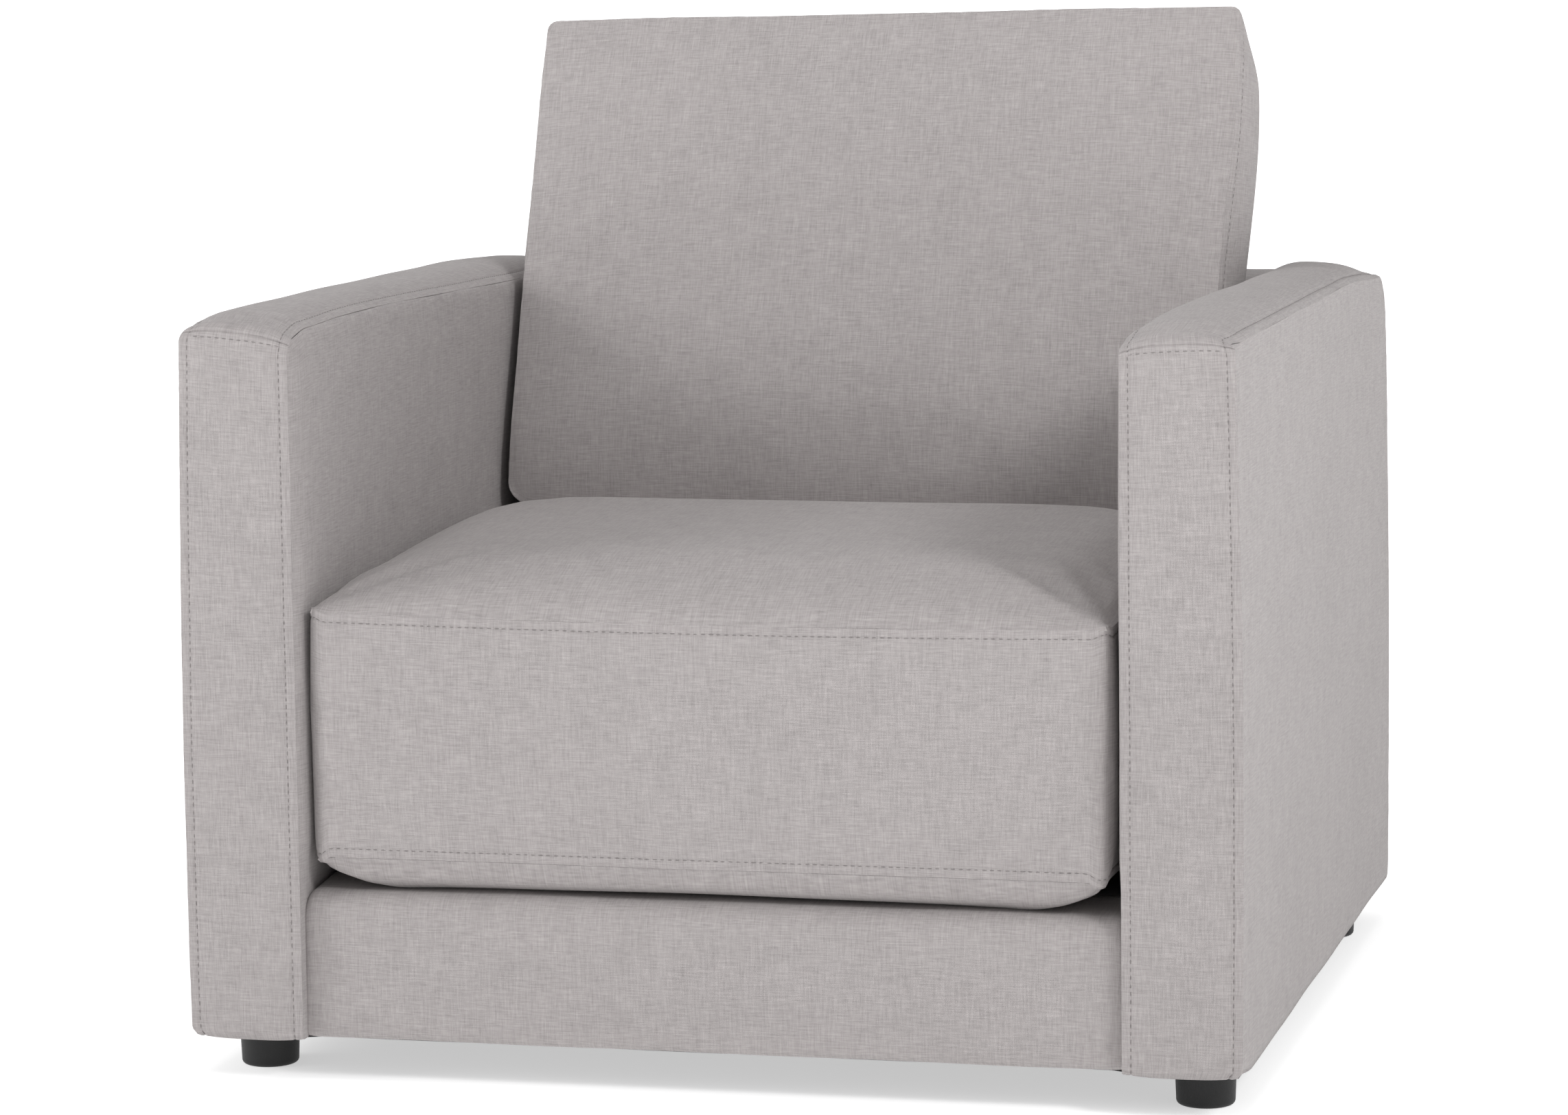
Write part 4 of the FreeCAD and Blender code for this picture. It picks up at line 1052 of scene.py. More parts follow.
def outer_back_sheet(a, b):
    """Upright sheet between the arms, drawn back with a crown of 3 mm."""
    x = a - BACK_WIDTH / 2
    crown = 3 * MM * (1 - (2 * x / BACK_WIDTH) ** 4)
    crown = crown * np.sin(np.pi * np.clip(b / OUTER_BACK_RISE, 0, 1)) ** 0.6
    return np.stack([x, outer_back_high[1] + crown, outer_back_low[2] + b], axis=-1)


def outer_back_relief(a, b):
    """Slow waves only."""
    return slow_waves(a, b, 0.4)


outer_back = Panel(
    outer_back_sheet, BACK_WIDTH, OUTER_BACK_RISE, back_heart, "n", "", outer_back_relief, 1.0
)
piece = add_cover(
    "back_outer_panel", outer_back, 8 * MM, CLOTH_STARTS["outer back"], back_heart, ["back_outer_cover"]
)
add_stitches("back_topstitch", [stitch_row(inner_back, "n", 0.0, BACK_WIDTH)], "frame")

# %% [markdown]
# ## Box cushions
# A box cushion has two faces and a border strip round them, sewn at every edge. The foam is
# cut larger than the cover, so the faces crown and the border swells. The start shape is
# worked out: two faces with a low crown, and the border between their edges. Blender's cloth
# then swells the panels under pressure while the seams stay where they are sewn. The result
# is read back as a net, and the final panels are cut from that net with fine lines along the
# seams, because a crease of a millimetre is narrower than any mesh a simulation likes.

# %% A net that can be read anywhere


class Net:
    """Cloth known at the crossings of a net and read between them by cubic curves.

    With f the share of the way from point 1 to point 2, the four weights are those of the
    Catmull-Rom curve: (-f+2f^2-f^3)/2, (2-5f^2+3f^3)/2, (f+4f^2-3f^3)/2, (-f^2+f^3)/2."""

    def __init__(self, points, lines_u, lines_v, closed=False):
        self.lines_u, self.lines_v = lines_u, lines_v
        if closed:
            points = np.concatenate([points[-2:-1], points, points[1:2]])
        else:
            points = np.concatenate([2 * points[:1] - points[1:2], points, 2 * points[-1:] - points[-2:-1]])
        first, last = points[:, :1], points[:, -1:]
        before, after = 2 * first - points[:, 1:2], 2 * last - points[:, -2:-1]
        self.points = np.concatenate([before, points, after], axis=1)

    @staticmethod
    def weights(place, lines):
        """Index of the net line before each place, and the four weights of the curve there."""
        spot = np.interp(place, lines, np.arange(len(lines)))
        index = np.clip(spot.astype(int), 0, len(lines) - 2)
        f = spot - index
        near = [(-f + 2 * f**2 - f**3) / 2, (2 - 5 * f**2 + 3 * f**3) / 2]
        far = [(f + 4 * f**2 - 3 * f**3) / 2, (f**3 - f**2) / 2]
        return index, near + far

    def __call__(self, u, v):
        u, v = np.broadcast_arrays(u, v)
        row, weight_u = self.weights(u, self.lines_u)
        column, weight_v = self.weights(v, self.lines_v)
        total = np.zeros(u.shape + (3,))
        for i in range(4):
            for j in range(4):
                total += self.points[row + i, column + j] * (weight_u[i] * weight_v[j])[..., None]
        return total


# %% Simulation on shared nets
PRESSURE = 4.0
SIM_FRAMES = 20
CLOTH_MASS = 0.3
ONE_POINT = 0.01 * MM


def swell(name, nets, seams, caps):
    """Runs cloth on several nets that share their edge points, and gives the nets back.

    Points within a hundredth of a millimetre are one point. A move d is limited to cap tanh(|d| / cap)."""
    points = np.concatenate([net.reshape(-1, 3) for net in nets])
    limits = np.concatenate([np.full(net.shape[0] * net.shape[1], cap) for net, cap in zip(nets, caps)])
    keys = np.round(points / ONE_POINT).astype(np.int64)
    _, first, index = np.unique(keys, axis=0, return_index=True, return_inverse=True)
    index = index.ravel()
    merged, limits = points[first], limits[first][:, None]
    faces, start = [], 0
    for net in nets:
        faces.append(index[grid_faces(net.shape[0], net.shape[1], start)])
        start += net.shape[0] * net.shape[1]
    mesh = bpy.data.meshes.new(name + "_blank")
    mesh.from_pydata(merged.tolist(), [], np.concatenate(faces).tolist())
    mesh.update()
    blank = bpy.data.objects.new(name + "_blank", mesh)
    bpy.context.collection.objects.link(blank)
    group = blank.vertex_groups.new(name="seams")
    group.add(np.unique(index[np.concatenate(seams)]).tolist(), 1.0, "REPLACE")
    cloth = blank.modifiers.new("cloth", "CLOTH")
    cloth.settings.quality = 5
    cloth.settings.mass = CLOTH_MASS
    cloth.settings.use_pressure = True
    cloth.settings.uniform_pressure_force = PRESSURE
    cloth.settings.effector_weights.gravity = 0.0
    cloth.settings.vertex_group_mass = "seams"
    cloth.point_cache.frame_start = 1
    cloth.point_cache.frame_end = SIM_FRAMES
    for number in range(1, SIM_FRAMES + 1):
        bpy.context.scene.frame_set(number)
    shown = blank.evaluated_get(bpy.context.evaluated_depsgraph_get())
    moved = np.empty(len(merged) * 3, dtype=np.float32)
    shown.data.vertices.foreach_get("co", moved)
    bpy.context.scene.frame_set(1)
    bpy.data.objects.remove(blank)
    move = moved.reshape(-1, 3).astype(float) - merged
    size = np.linalg.norm(move, axis=1, keepdims=True)
    move = move * (limits * np.tanh(size / limits) / np.maximum(size, 1e-9))
    print(name, "swelled by up to", round(float(size.max()) / MM, 1), "mm before the cap")
    settled = (merged + move)[index]
    ends = np.cumsum([net.shape[0] * net.shape[1] for net in nets])
    return [part.reshape(net.shape) for part, net in zip(np.split(settled, ends[:-1]), nets)]


# %% [markdown]
# The border of a box cushion is one long strip. It starts at a front corner and goes round
# the rim of the faces, so a distance along it says which side it is on. The three nets are
# turned to face outwards before the pressure is switched on, because pressure pushes along
# the faces' own normals.

# %% Panels of a box cushion


def rim_place(s, width, length):
    """Shares (a, b) across a face at distance s round its rim."""
    a = np.clip(s, 0, width) - np.clip(s - width - length, 0, width)
    b = np.clip(s - width, 0, length) - np.clip(s - 2 * width - length, 0, length)
    return a / width, b / length


def on_side(s, run, start, end, blend=22 * MM):
    """1 along the side from start to end, falling to a half at its ends and to 0 beyond them."""
    away = np.abs((s - (start + end) / 2 + run / 2) % run - run / 2)
    return smooth(((end - start) / 2 + blend - away) / (2 * blend))


def faces_out(net, heart):
    """True if the net's own normals look away from the heart."""
    slope = np.cross(net[1:, 1:] - net[:-1, 1:], net[1:, 1:] - net[1:, :-1])
    return (slope * (net[1:, 1:] - np.asarray(heart))).sum() > 0


NET_FINE = 7 * MM
NET_COARSE = 15 * MM
NET_BORDER = 11 * MM


def box_cushion(name, face, bulge, size, caps, heart, relief, press):
    """Panels of a box cushion: two faces and a border.

    face(a, b, t) gives the start shape's point for shares a and b across the face, at t = 0 on
    the first face and 1 on the second; bulge(s, t) is how far the border swells out."""
    width, length, depth = size
    lines_a = spread_lines(width, NET_FINE, NET_COARSE)
    lines_b = spread_lines(length, NET_FINE, NET_COARSE)
    lines_t = spread_lines(depth, NET_FINE, NET_BORDER)
    a, b = np.meshgrid(lines_a / width, lines_b / length, indexing="ij")
    run = 2 * (width + length)
    starts = [lines_a, width + lines_b[1:], width + length + lines_a[1:], 2 * width + length + lines_b[1:]]
    lines_s = np.concatenate(starts)
    rim_a, rim_b = rim_place(lines_s, width, length)
    t = lines_t[None, :] / depth
    start, end = face(rim_a, rim_b, 0.0)[:, None], face(rim_a, rim_b, 1.0)[:, None]
    border = start * (1 - t[..., None]) + end * t[..., None]
    ahead = np.roll(border[:-1], -2, axis=0) - np.roll(border[:-1], 2, axis=0)
    outward = unit(np.cross(ahead, end[:-1] - start[:-1]))
    if (outward * (border[:-1] - np.asarray(heart))).sum() < 0:
        outward = -outward
    outward = np.concatenate([outward, outward[:1]])
    border = border + outward * bulge(lines_s[:, None], t)[..., None]
    nets = [face(a, b, 0.0), face(a, b, 1.0), border]
    out = [faces_out(net, heart) for net in nets]
    turned = [net if good else net[:, ::-1] for net, good in zip(nets, out)]
    before = nets[0].shape[0] * nets[0].shape[1] + nets[1].shape[0] * nets[1].shape[1]
    rows = before + np.arange(border.shape[0]) * border.shape[1]
    settled = swell(name, turned, [rows, rows + border.shape[1] - 1], caps)
    nets = [net if good else net[:, ::-1] for net, good in zip(settled, out)]
    first = Net(nets[0], lines_a, lines_b)
    second = Net(nets[1], lines_a, lines_b)
    strip = Net(nets[2], lines_s, lines_t, closed=True)
    return (
        Panel(first, width, length, heart, "wens", "", relief, 0.5, press),
        Panel(second, width, length, heart, "wens", "", relief, 1.5, press),
        Panel(strip, run, depth, heart, "sn", "sn", relief, 2.5, press),
    )


def finish_cushion(name, panels, stands_for, body, heart, cloth_start):
    """Makes the three panels one cover piece and adds the topstitches along both rims of the border."""
    face, _, border = panels
    corners = np.array([0, face.width, face.width + face.length, 2 * face.width + face.length, border.width])
    near_corners = np.clip((corners[:, None] + np.linspace(-26, 26, 14)[None] * MM).ravel(), 0, border.width)
    grids, charts = [], []
    for number, (panel, extra) in enumerate(zip(panels, ((), (), near_corners))):
        grid, chart = panel.grid(7 * MM, extra)
        grids.append(grid)
        charts.append(chart + cloth_start + number * PANEL_STEP)
    grids[2][-1] = grids[2][0]
    mesh = build_mesh(name, grids, charts, heart)
    piece = add_piece(name, mesh, linen, body, stands_for)
    rows = [stitch_row(border, "s", 0.0, border.width), stitch_row(border, "n", 0.0, border.width)]
    add_stitches(name + "_topstitch", rows, body)


# %% [markdown]
# ## The zips
# Each loose cushion opens with a zip in the border where nobody looks: at the rear of the
# seat cushion and under the back cushion. A zip is flat and stiff, so the cloth round it lies
# in a shallow straight recess. Its place comes from the CAD nodes; a small class keeps the
# three directions of a zip and says how far a point is from it.

# %% Where the zips lie
ZIP_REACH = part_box("seat_cushion_zip")[1][0]
ZIP_FLOOR = -5.2 * MM
RECESS_HALF = 13 * MM


class ZipPlace:
    """A zip along X: across is the way over its tape and out is the way out of the cushion."""

    def __init__(self, centre, across, out):
        self.centre, self.across, self.out = np.array(centre), np.array(across), np.array(out)

    def point(self, x, over, out):
        """centre + x X + over across + out out."""
        x, over, out = np.broadcast_arrays(np.asarray(x, float), over, out)
        along = np.stack([x, np.zeros(x.shape), np.zeros(x.shape)], axis=-1)
        return self.centre + along + over[..., None] * self.across + out[..., None] * self.out

    def recess(self, points, half, blend, reach):
        """Points near the zip move to its floor: out = out (1 - w) + floor w, where w is a smooth window."""
        away = points - self.centre
        over, out = away @ self.across, away @ self.out
        window = smooth((half + blend - np.abs(over)) / blend) * smooth((out + reach) / (4 * MM))
        window = window * smooth((ZIP_REACH + 8 * MM - np.abs(points[..., 0])) / (8 * MM))
        return points + ((ZIP_FLOOR - out) * window)[..., None] * self.out


lean_cos, lean_sin = math.cos(BACK_LEAN), math.sin(BACK_LEAN)
seat_zip_low, seat_zip_high = (np.array(c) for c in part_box("seat_cushion_zip"))
back_zip_low, back_zip_high = (np.array(c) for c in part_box("back_cushion_zip"))
seat_zip_heart = (seat_zip_low + seat_zip_high) / 2
ZIP_TAPE_DEPTH = 4.5 * MM
seat_zip_out = np.array([0, lean_cos, -lean_sin])
seat_zip = ZipPlace(
    seat_zip_heart + seat_zip_out * ZIP_TAPE_DEPTH, (0, lean_sin, lean_cos), seat_zip_out
)
back_zip = ZipPlace(
    (0.0, (back_zip_low[1] + back_zip_high[1]) / 2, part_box("back_cushion_cover")[0][2]), (0, 1, 0), (0, 0, -1)
)
print("zips lie at", np.round(seat_zip.centre, 3).tolist(), "and", np.round(back_zip.centre, 3).tolist())

# %% [markdown]
# ## Seat cushion
# The top face crowns up to 43 mm above its seam, flatter towards the rear where the back
# cushion stands on it. The underside lies on the deck, so it is flat in the middle and round
# at its edges. The border swells fully from half way down, where the cushion's weight spreads
# it, and its base is a little wider on the sitter's right.

# %% Start shape of the seat cushion
seat_low, seat_high = (np.array(c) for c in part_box("seat_cushion_cover"))
SEAT_HALF = seat_high[0] + 1.0 * MM
SEAT_BASE_HALF = seat_high[0] - 4.5 * MM
SEAT_FRONT = seat_low[1] + 2.0 * MM
SEAT_SEAM_TOP = seat_high[2] - 35.5 * MM
SEAT_SEAM_BASE = seat_low[2] + 22.9 * MM
SEAT_WIDTH = 2 * SEAT_HALF
SEAT_LENGTH = 0.715
SEAT_DEPTH = SEAT_SEAM_TOP - SEAT_SEAM_BASE
SEAT_RUN = 2 * (SEAT_WIDTH + SEAT_LENGTH)
SEAT_CORNER = 14 * MM
SEAT_REAR_GAP = 5.0 * MM
BACK_FOOT_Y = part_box("back_inner_cover")[0][1]
DECK_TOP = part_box("deck_cloth")[1][2]


def round_rectangle(a, b, width, length, radii):
    """Shares (a, b) as distances on a rectangle whose corners are rounded: radii are low b and high b."""
    a, b = np.broadcast_arrays(a, b)
    side, deep = a * width, b * length
    for way_b, radius in zip((-1, 1), radii):
        corner_b = length if way_b > 0 else 0.0
        side, deep = round_corner(side, deep, 0.0, corner_b, -1, way_b, radius)
        side, deep = round_corner(side, deep, width, corner_b, 1, way_b, radius)
    return side, deep


def seat_face(a, b, t):
    """Top: crown = height (1 - |u|^p)^0.36 (1 - |v|^4)^0.44, with p = 3.2 in front and 7 behind.

    Base: a rounded drop of 27 mm."""
    side, deep = round_rectangle(a, b, SEAT_WIDTH, SEAT_LENGTH, (SEAT_CORNER, SEAT_CORNER))
    x = side - SEAT_HALF
    u, v = 2 * side / SEAT_WIDTH - 1, 2 * deep / SEAT_LENGTH - 1
    seam = SEAT_SEAM_TOP if t == 0.0 else SEAT_SEAM_BASE
    front = SEAT_FRONT + 6 * MM * t
    rear = BACK_FOOT_Y - SEAT_REAR_GAP + (seam - DECK_TOP) * math.tan(BACK_LEAN)
    y = front + deep / SEAT_LENGTH * (rear - front)
    if t == 0.0:
        power = 3.2 + 3.8 * smooth((v + 0.6) / 0.7)
        dome = np.clip(1 - np.abs(u) ** power, 0, 1) ** 0.36 * np.clip(1 - np.abs(v) ** 4, 0, 1) ** 0.44
        side_lift = 6 * MM * np.abs(u) ** 6 * smooth(deep / 0.12) * smooth((SEAT_LENGTH - deep) / 0.30)
        front_dip = -3.5 * MM * (1 - (x / SEAT_HALF) ** 2) * smooth(1 - deep / 0.05)
        z = seam + front_dip + side_lift + dome * (43 * MM - 22 * MM * smooth((y + 0.01) / 0.11))
    else:
        to_side, to_end = SEAT_HALF - np.abs(x), np.minimum(deep, SEAT_LENGTH - deep)
        x = x * SEAT_BASE_HALF / SEAT_HALF + 5 * MM * np.minimum(x / SEAT_HALF, 0.0)
        z = seam - 27 * MM * quarter(to_side / 0.060) * quarter(to_end / 0.024)
    return np.stack([x, y, z], axis=-1)


def seat_bulge(s, t):
    """Border swell = size sin(pi/2 min(2t, 1))^0.85 q((1 - t) / 0.07): 3 mm, and half of it behind."""
    rear = on_side(s, SEAT_RUN, SEAT_WIDTH + SEAT_LENGTH, 2 * SEAT_WIDTH + SEAT_LENGTH)
    amount = 3.0 * MM - 1.5 * MM * rear
    return amount * np.sin(np.pi / 2 * np.clip(2 * t, 0, 1)) ** 0.85 * quarter((1 - t) / 0.07)


def seat_press(points):
    """The deck holds z up, the fixed back holds the rear face forward, and the zip lies in its recess."""
    points = seat_zip.recess(points, RECESS_HALF, 7 * MM, 25 * MM)
    on_rail = RAIL_SINK * smooth((rail_high[1] + 30 * MM - points[..., 1]) / (70 * MM))
    z = np.maximum(points[..., 2], DECK_TOP + 0.8 * MM - on_rail)
    past = (points[..., 1] - BACK_FOOT_Y) * lean_cos - (z - DECK_TOP) * lean_sin + 0.8 * MM
    y = points[..., 1] - np.maximum(past, 0.0) / lean_cos
    return np.stack([points[..., 0], y, z], axis=-1)


def seat_relief(a, b):
    """Slow waves at four fifths of their height."""
    return slow_waves(a, b, 2.2) * 0.8


# %% Swell and sew the seat cushion
seat_heart = (0.0, -0.09, 0.30)
seat_panels = box_cushion(
    "seat_cushion", seat_face, seat_bulge, (SEAT_WIDTH, SEAT_LENGTH, SEAT_DEPTH),
    (5 * MM, 3 * MM, 3 * MM), seat_heart, seat_relief, seat_press,
)
finish_cushion(
    "seat_cushion_case", seat_panels,
    ["seat_cushion_cover", "seat_cushion_foam", "seat_cushion_fibre"], "seat_cushion", seat_heart,
    CLOTH_STARTS["seat cushion"],
)

# %% [markdown]
# ## Back cushion
# It stands on the seat and leans back on the top edge of the fixed back. Between the arms
# its sides are held in; above them they are free. The rear face is smaller than the front
# face and its top corners are far rounder, because the fill slumps forwards and down. The top
# edge is a little higher on the sitter's left.

# %% Start shape of the back cushion
cushion_low, cushion_high = (np.array(c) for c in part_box("back_cushion_cover"))
BACK_FRONT_LEAN = math.radians(21.5)
BACK_REAR_LEAN = math.radians(20.0)
BACK_HALF = cushion_high[0] - 7.5 * MM
BACK_REAR_HALF = cushion_high[0] - 14.0 * MM
BACK_CASE_WIDTH = 2 * BACK_HALF
BACK_FOOT = cushion_low[1] - 4 * MM
BACK_BASE = cushion_low[2] - 4.6 * MM
BACK_SEAM_TOP = cushion_high[2] - 2.0 * MM
BACK_CASE_LENGTH = 0.478
BACK_CASE_DEPTH = 0.118
BACK_CASE_RUN = 2 * (BACK_CASE_WIDTH + BACK_CASE_LENGTH)
BACK_FRONT_CORNERS = (24 * MM, 11 * MM)
BACK_REAR_CORNERS = (24 * MM, 80 * MM)


def back_face(a, b, t):
    """Rounded rectangle that leans back.

    Its crown along its own normal is rise (1 - |u|^2.6)^0.5 (1 - |v|^2.6)^0.5."""
    radii = BACK_FRONT_CORNERS if t == 0.0 else BACK_REAR_CORNERS
    side, up = round_rectangle(a, b, BACK_CASE_WIDTH, BACK_CASE_LENGTH, radii)
    x = side - BACK_HALF
    share = up / BACK_CASE_LENGTH
    u, v = x / BACK_HALF, 2 * share - 1
    dome = np.clip(1 - np.abs(u) ** 2.6, 0, 1) ** 0.5 * np.clip(1 - np.abs(v) ** 2.6, 0, 1) ** 0.5
    base = BACK_BASE - 8 * MM * (1 - t)
    z = base + share * (BACK_SEAM_TOP - base) + 5.0 * MM * u * share
    if t == 0.0:
        y = BACK_FOOT + (z - BACK_BASE) * math.tan(BACK_FRONT_LEAN)
        y = y + 16 * MM * (1 - np.clip((z - base) / (90 * MM), 0, 1)) ** 2
        x = x - 7 * MM * smooth((0.80 - z) / 0.16) * smooth(u * 4 - 3) * smooth((z - 0.45) / 0.10)
        crown = np.array([0.0, -math.cos(BACK_FRONT_LEAN), math.sin(BACK_FRONT_LEAN)]) * 15 * MM
    else:
        y = BACK_FOOT + BACK_CASE_DEPTH + (z - BACK_BASE) * math.tan(BACK_REAR_LEAN)
        x = x * BACK_REAR_HALF / BACK_HALF
        z = z - 25 * MM * share
        crown = np.array([0.0, math.cos(BACK_REAR_LEAN), -math.sin(BACK_REAR_LEAN)]) * 22 * MM
    return np.stack([x, y, z], axis=-1) + crown * dome[..., None]


def back_bulge(s, t):
    """Border swell by side: 3 mm on top, 1 mm below, and at the sides a curve of the depth below the top."""
    width, length = BACK_CASE_WIDTH, BACK_CASE_LENGTH
    right = on_side(s, BACK_CASE_RUN, width, width + length, 16 * MM)
    top = on_side(s, BACK_CASE_RUN, width + length, 2 * width + length, 16 * MM)
    left = on_side(s, BACK_CASE_RUN, 2 * width + length, BACK_CASE_RUN, 16 * MM)
    from_corner = np.where(s < BACK_CASE_RUN / 2, width + length - s, s - 2 * width - length)
    below_top = from_corner * math.cos(BACK_FRONT_LEAN)
    on_right = 4 * MM + 10 * MM * np.sin(np.pi * np.clip(below_top / 0.25, 0, 1) ** 0.75)
    above_arm = 1 - smooth((below_top - 0.25) / 0.06)
    on_right = on_right + 1 * MM + 8 * MM * smooth((below_top - 0.06) / 0.20) * above_arm
    on_left = 8 * MM + 4 * MM * smooth((0.26 - below_top) / 0.06) * smooth(below_top / 0.05)
    amount = 1 * MM + right * (on_right - 1 * MM) + left * (on_left - 1 * MM) + top * 2 * MM
    return amount * np.sin(np.pi * t) ** 0.7


def back_press(points):
    """The zip under the cushion lies in its recess."""
    return back_zip.recess(points, RECESS_HALF, 18 * MM, 16 * MM)


def back_relief(a, b):
    """Slow waves at their full height."""
    return slow_waves(a, b, 3.9)


# %% Swell and sew the back cushion
back_case_heart = (0.0, 0.25, 0.66)
back_panels = box_cushion(
    "back_cushion", back_face, back_bulge, (BACK_CASE_WIDTH, BACK_CASE_LENGTH, BACK_CASE_DEPTH),
    (6 * MM, 5 * MM, 2.5 * MM), back_case_heart, back_relief, back_press,
)
finish_cushion(
    "back_cushion_case", back_panels,
    ["back_cushion_cover", "back_cushion_fill"], "back_cushion", back_case_heart,
    CLOTH_STARTS["back cushion"],
)

# %% [markdown]
# ## Pads, straps and wires
# What is left is small and hidden, but it is there: the foam pad and cloth of the deck, the
# dust cover with its staples, the webbing and the sinuous springs. Two shapes cover all of
# it. A rounded box is a box whose edges and corners are parts of a small ball. A swept wire
# is a ring of points carried along a path.

# %% Rounded boxes and swept wires


def rounded_box(low, high, radius, spacing, steps=3):
    """Six grids: point = core + radius * unit(p - core), with p on the box and core = p held radius inside.

    In the edge bands p = edge + radius tan(angle), so that the arcs have even steps."""
    low, high = np.asarray(low, float), np.asarray(high, float)
    centre, half = (low + high) / 2, (high - low) / 2
    band = radius * np.tan(np.linspace(0, np.pi / 4, steps + 1)[1:])
    lines = []
    for reach in half:
        count = max(2, int(2 * (reach - radius) / spacing) + 1)
        inner = np.linspace(-(reach - radius), reach - radius, count)
        lines.append(np.concatenate([-(reach - radius) - band[::-1], inner, reach - radius + band]))
    grids = []
    for axis in range(3):
        first, second = [k for k in range(3) if k != axis]
        u, v = np.meshgrid(lines[first], lines[second], indexing="ij")
        for way in (-1, 1):
            p = np.zeros(u.shape + (3,))
            p[..., first], p[..., second], p[..., axis] = u, v, way * half[axis]
            core = np.clip(p, -(half - radius), half - radius)
            grids.append(centre + core + radius * unit(p - core))
    return grids


def box_mesh(name, low, high, radius, spacing, place=None):
    """A closed mesh of a rounded box; place(grid) bends or turns it afterwards."""
    grids = rounded_box(low, high, radius, spacing)
    maps = [grid[..., :2] + grid[..., 2:] * 0.7 for grid in grids]
    heart = (np.asarray(low, float) + np.asarray(high, float)) / 2
    if place is not None:
        grids = [place(grid) for grid in grids]
        heart = place(heart[None])[0]
    return build_mesh(name, grids, maps, heart, 1e-7)


def swept(paths, radius, sides=8, up=(0.0, 0.0, 1.0)):
    """Tubes (k, rings, sides, 3) along paths (k, rings, 3): ring = side cos + lift sin, side = up x way."""
    way = unit(np.gradient(paths, axis=1))
    side = unit(np.cross(np.broadcast_to(np.asarray(up, float), way.shape), way))
    lift = np.cross(way, side)
    angle = np.arange(sides) * 2 * np.pi / sides
    ring = side[:, :, None] * np.cos(angle)[:, None] + lift[:, :, None] * np.sin(angle)[:, None]
    return paths[:, :, None] + ring * radius


# %% Deck of the seat
deck_foam_low, deck_foam_high = (np.array(c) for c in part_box("deck_foam"))
deck_foam_low += [24 * MM, 30 * MM, 0.0]
deck_foam_high -= [24 * MM, 0.0, 0.6 * MM]
deck_pad = add_piece(
    "deck_foam_pad", box_mesh("deck_foam_pad", deck_foam_low, deck_foam_high, 5 * MM, 20 * MM),
    foam, "frame", ["deck_foam"],
)
deck_low, deck_high = (np.array(c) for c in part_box("deck_cloth"))
DECK_WIDTH = deck_high[0] - deck_low[0]
DECK_FRONT = rail_high[1] + 27 * MM
DECK_LENGTH = deck_high[1] + 10 * MM - DECK_FRONT


def deck_sheet(a, b):
    """Flat cloth from the front band to under the fixed back."""
    return np.stack([a - DECK_WIDTH / 2, DECK_FRONT + b, np.full(a.shape, deck_low[2] + 0.7 * MM)], axis=-1)


deck = Panel(deck_sheet, DECK_WIDTH, DECK_LENGTH, (0, 0, 0), "", "", lambda a, b: slow_waves(a, b, 6.3) * 0.6)
grid, chart = deck.grid(12 * MM)
deck_mesh = build_mesh("deck_cloth_sheet", [grid], [chart + CLOTH_STARTS["deck"]], (0, 0, 0))
deck_piece = add_piece(
    "deck_cloth_sheet", deck_mesh, deck_weave, "frame", ["deck_cloth"], 0.6 * MM,
)

# %% Dust cover and its staples
dust_low, dust_high = (np.array(c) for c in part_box("dust_cover"))
dust_low[1] -= 8 * MM
dust_low[2] -= 0.1 * MM
DUST_WIDTH, DUST_LENGTH = dust_high[0] - dust_low[0], dust_high[1] - dust_low[1]


def dust_sheet(a, b):
    """Sag of 2 mm in the middle; between the arms the front edge is drawn back under the front rail."""
    sag = 2.0 * MM * np.sin(np.pi * a / DUST_WIDTH) * np.sin(np.pi * b / DUST_LENGTH)
    x = a + dust_low[0]
    between_arms = smooth((ARM_INSIDE + 6 * MM - np.abs(x)) / (12 * MM))
    drawn_back = 12 * MM * between_arms * (1 - np.clip(b / (60 * MM), 0, 1))
    return np.stack([x, b + dust_low[1] + drawn_back, dust_low[2] - sag], axis=-1)


dust = Panel(dust_sheet, DUST_WIDTH, DUST_LENGTH, (0, 0, 1), "", "", lambda a, b: slow_waves(a, b, 8.8) * 0.3)
grid, chart = dust.grid(12 * MM)
dust_mesh = build_mesh("dust_cover_sheet", [grid], [chart + CLOTH_STARTS["dust cover"]], (0, 0, 1))
dust_piece = add_piece(
    "dust_cover_sheet", dust_mesh, dust_weave, "frame", ["dust_cover"], 0.5 * MM,
)
STAPLE_PITCH = 58 * MM
STAPLE_CROWN = 5 * MM
STAPLE_RADIUS = 0.5 * MM


def staple_row(start, end, inset):
    """Staple paths along one side: two short legs go up into the rail at the ends of each crown."""
    start, end = np.array(start), np.array(end)
    ahead = unit(end - start)
    count = int(np.linalg.norm(end - start) / STAPLE_PITCH)
    middle = start + (end - start) * ((np.arange(count) + 0.5) / count)[:, None] + inset
    along = np.array([-1.0, -1.0, -0.9, -0.5, 0.0, 0.5, 0.9, 1.0, 1.0]) * STAPLE_CROWN
    rise = np.array([3.0, 0.6, 0.0, 0.0, 0.0, 0.0, 0.0, 0.6, 3.0]) * MM
    path = middle[:, None] + along[None, :, None] * ahead
    path[..., 2] += rise
    return path


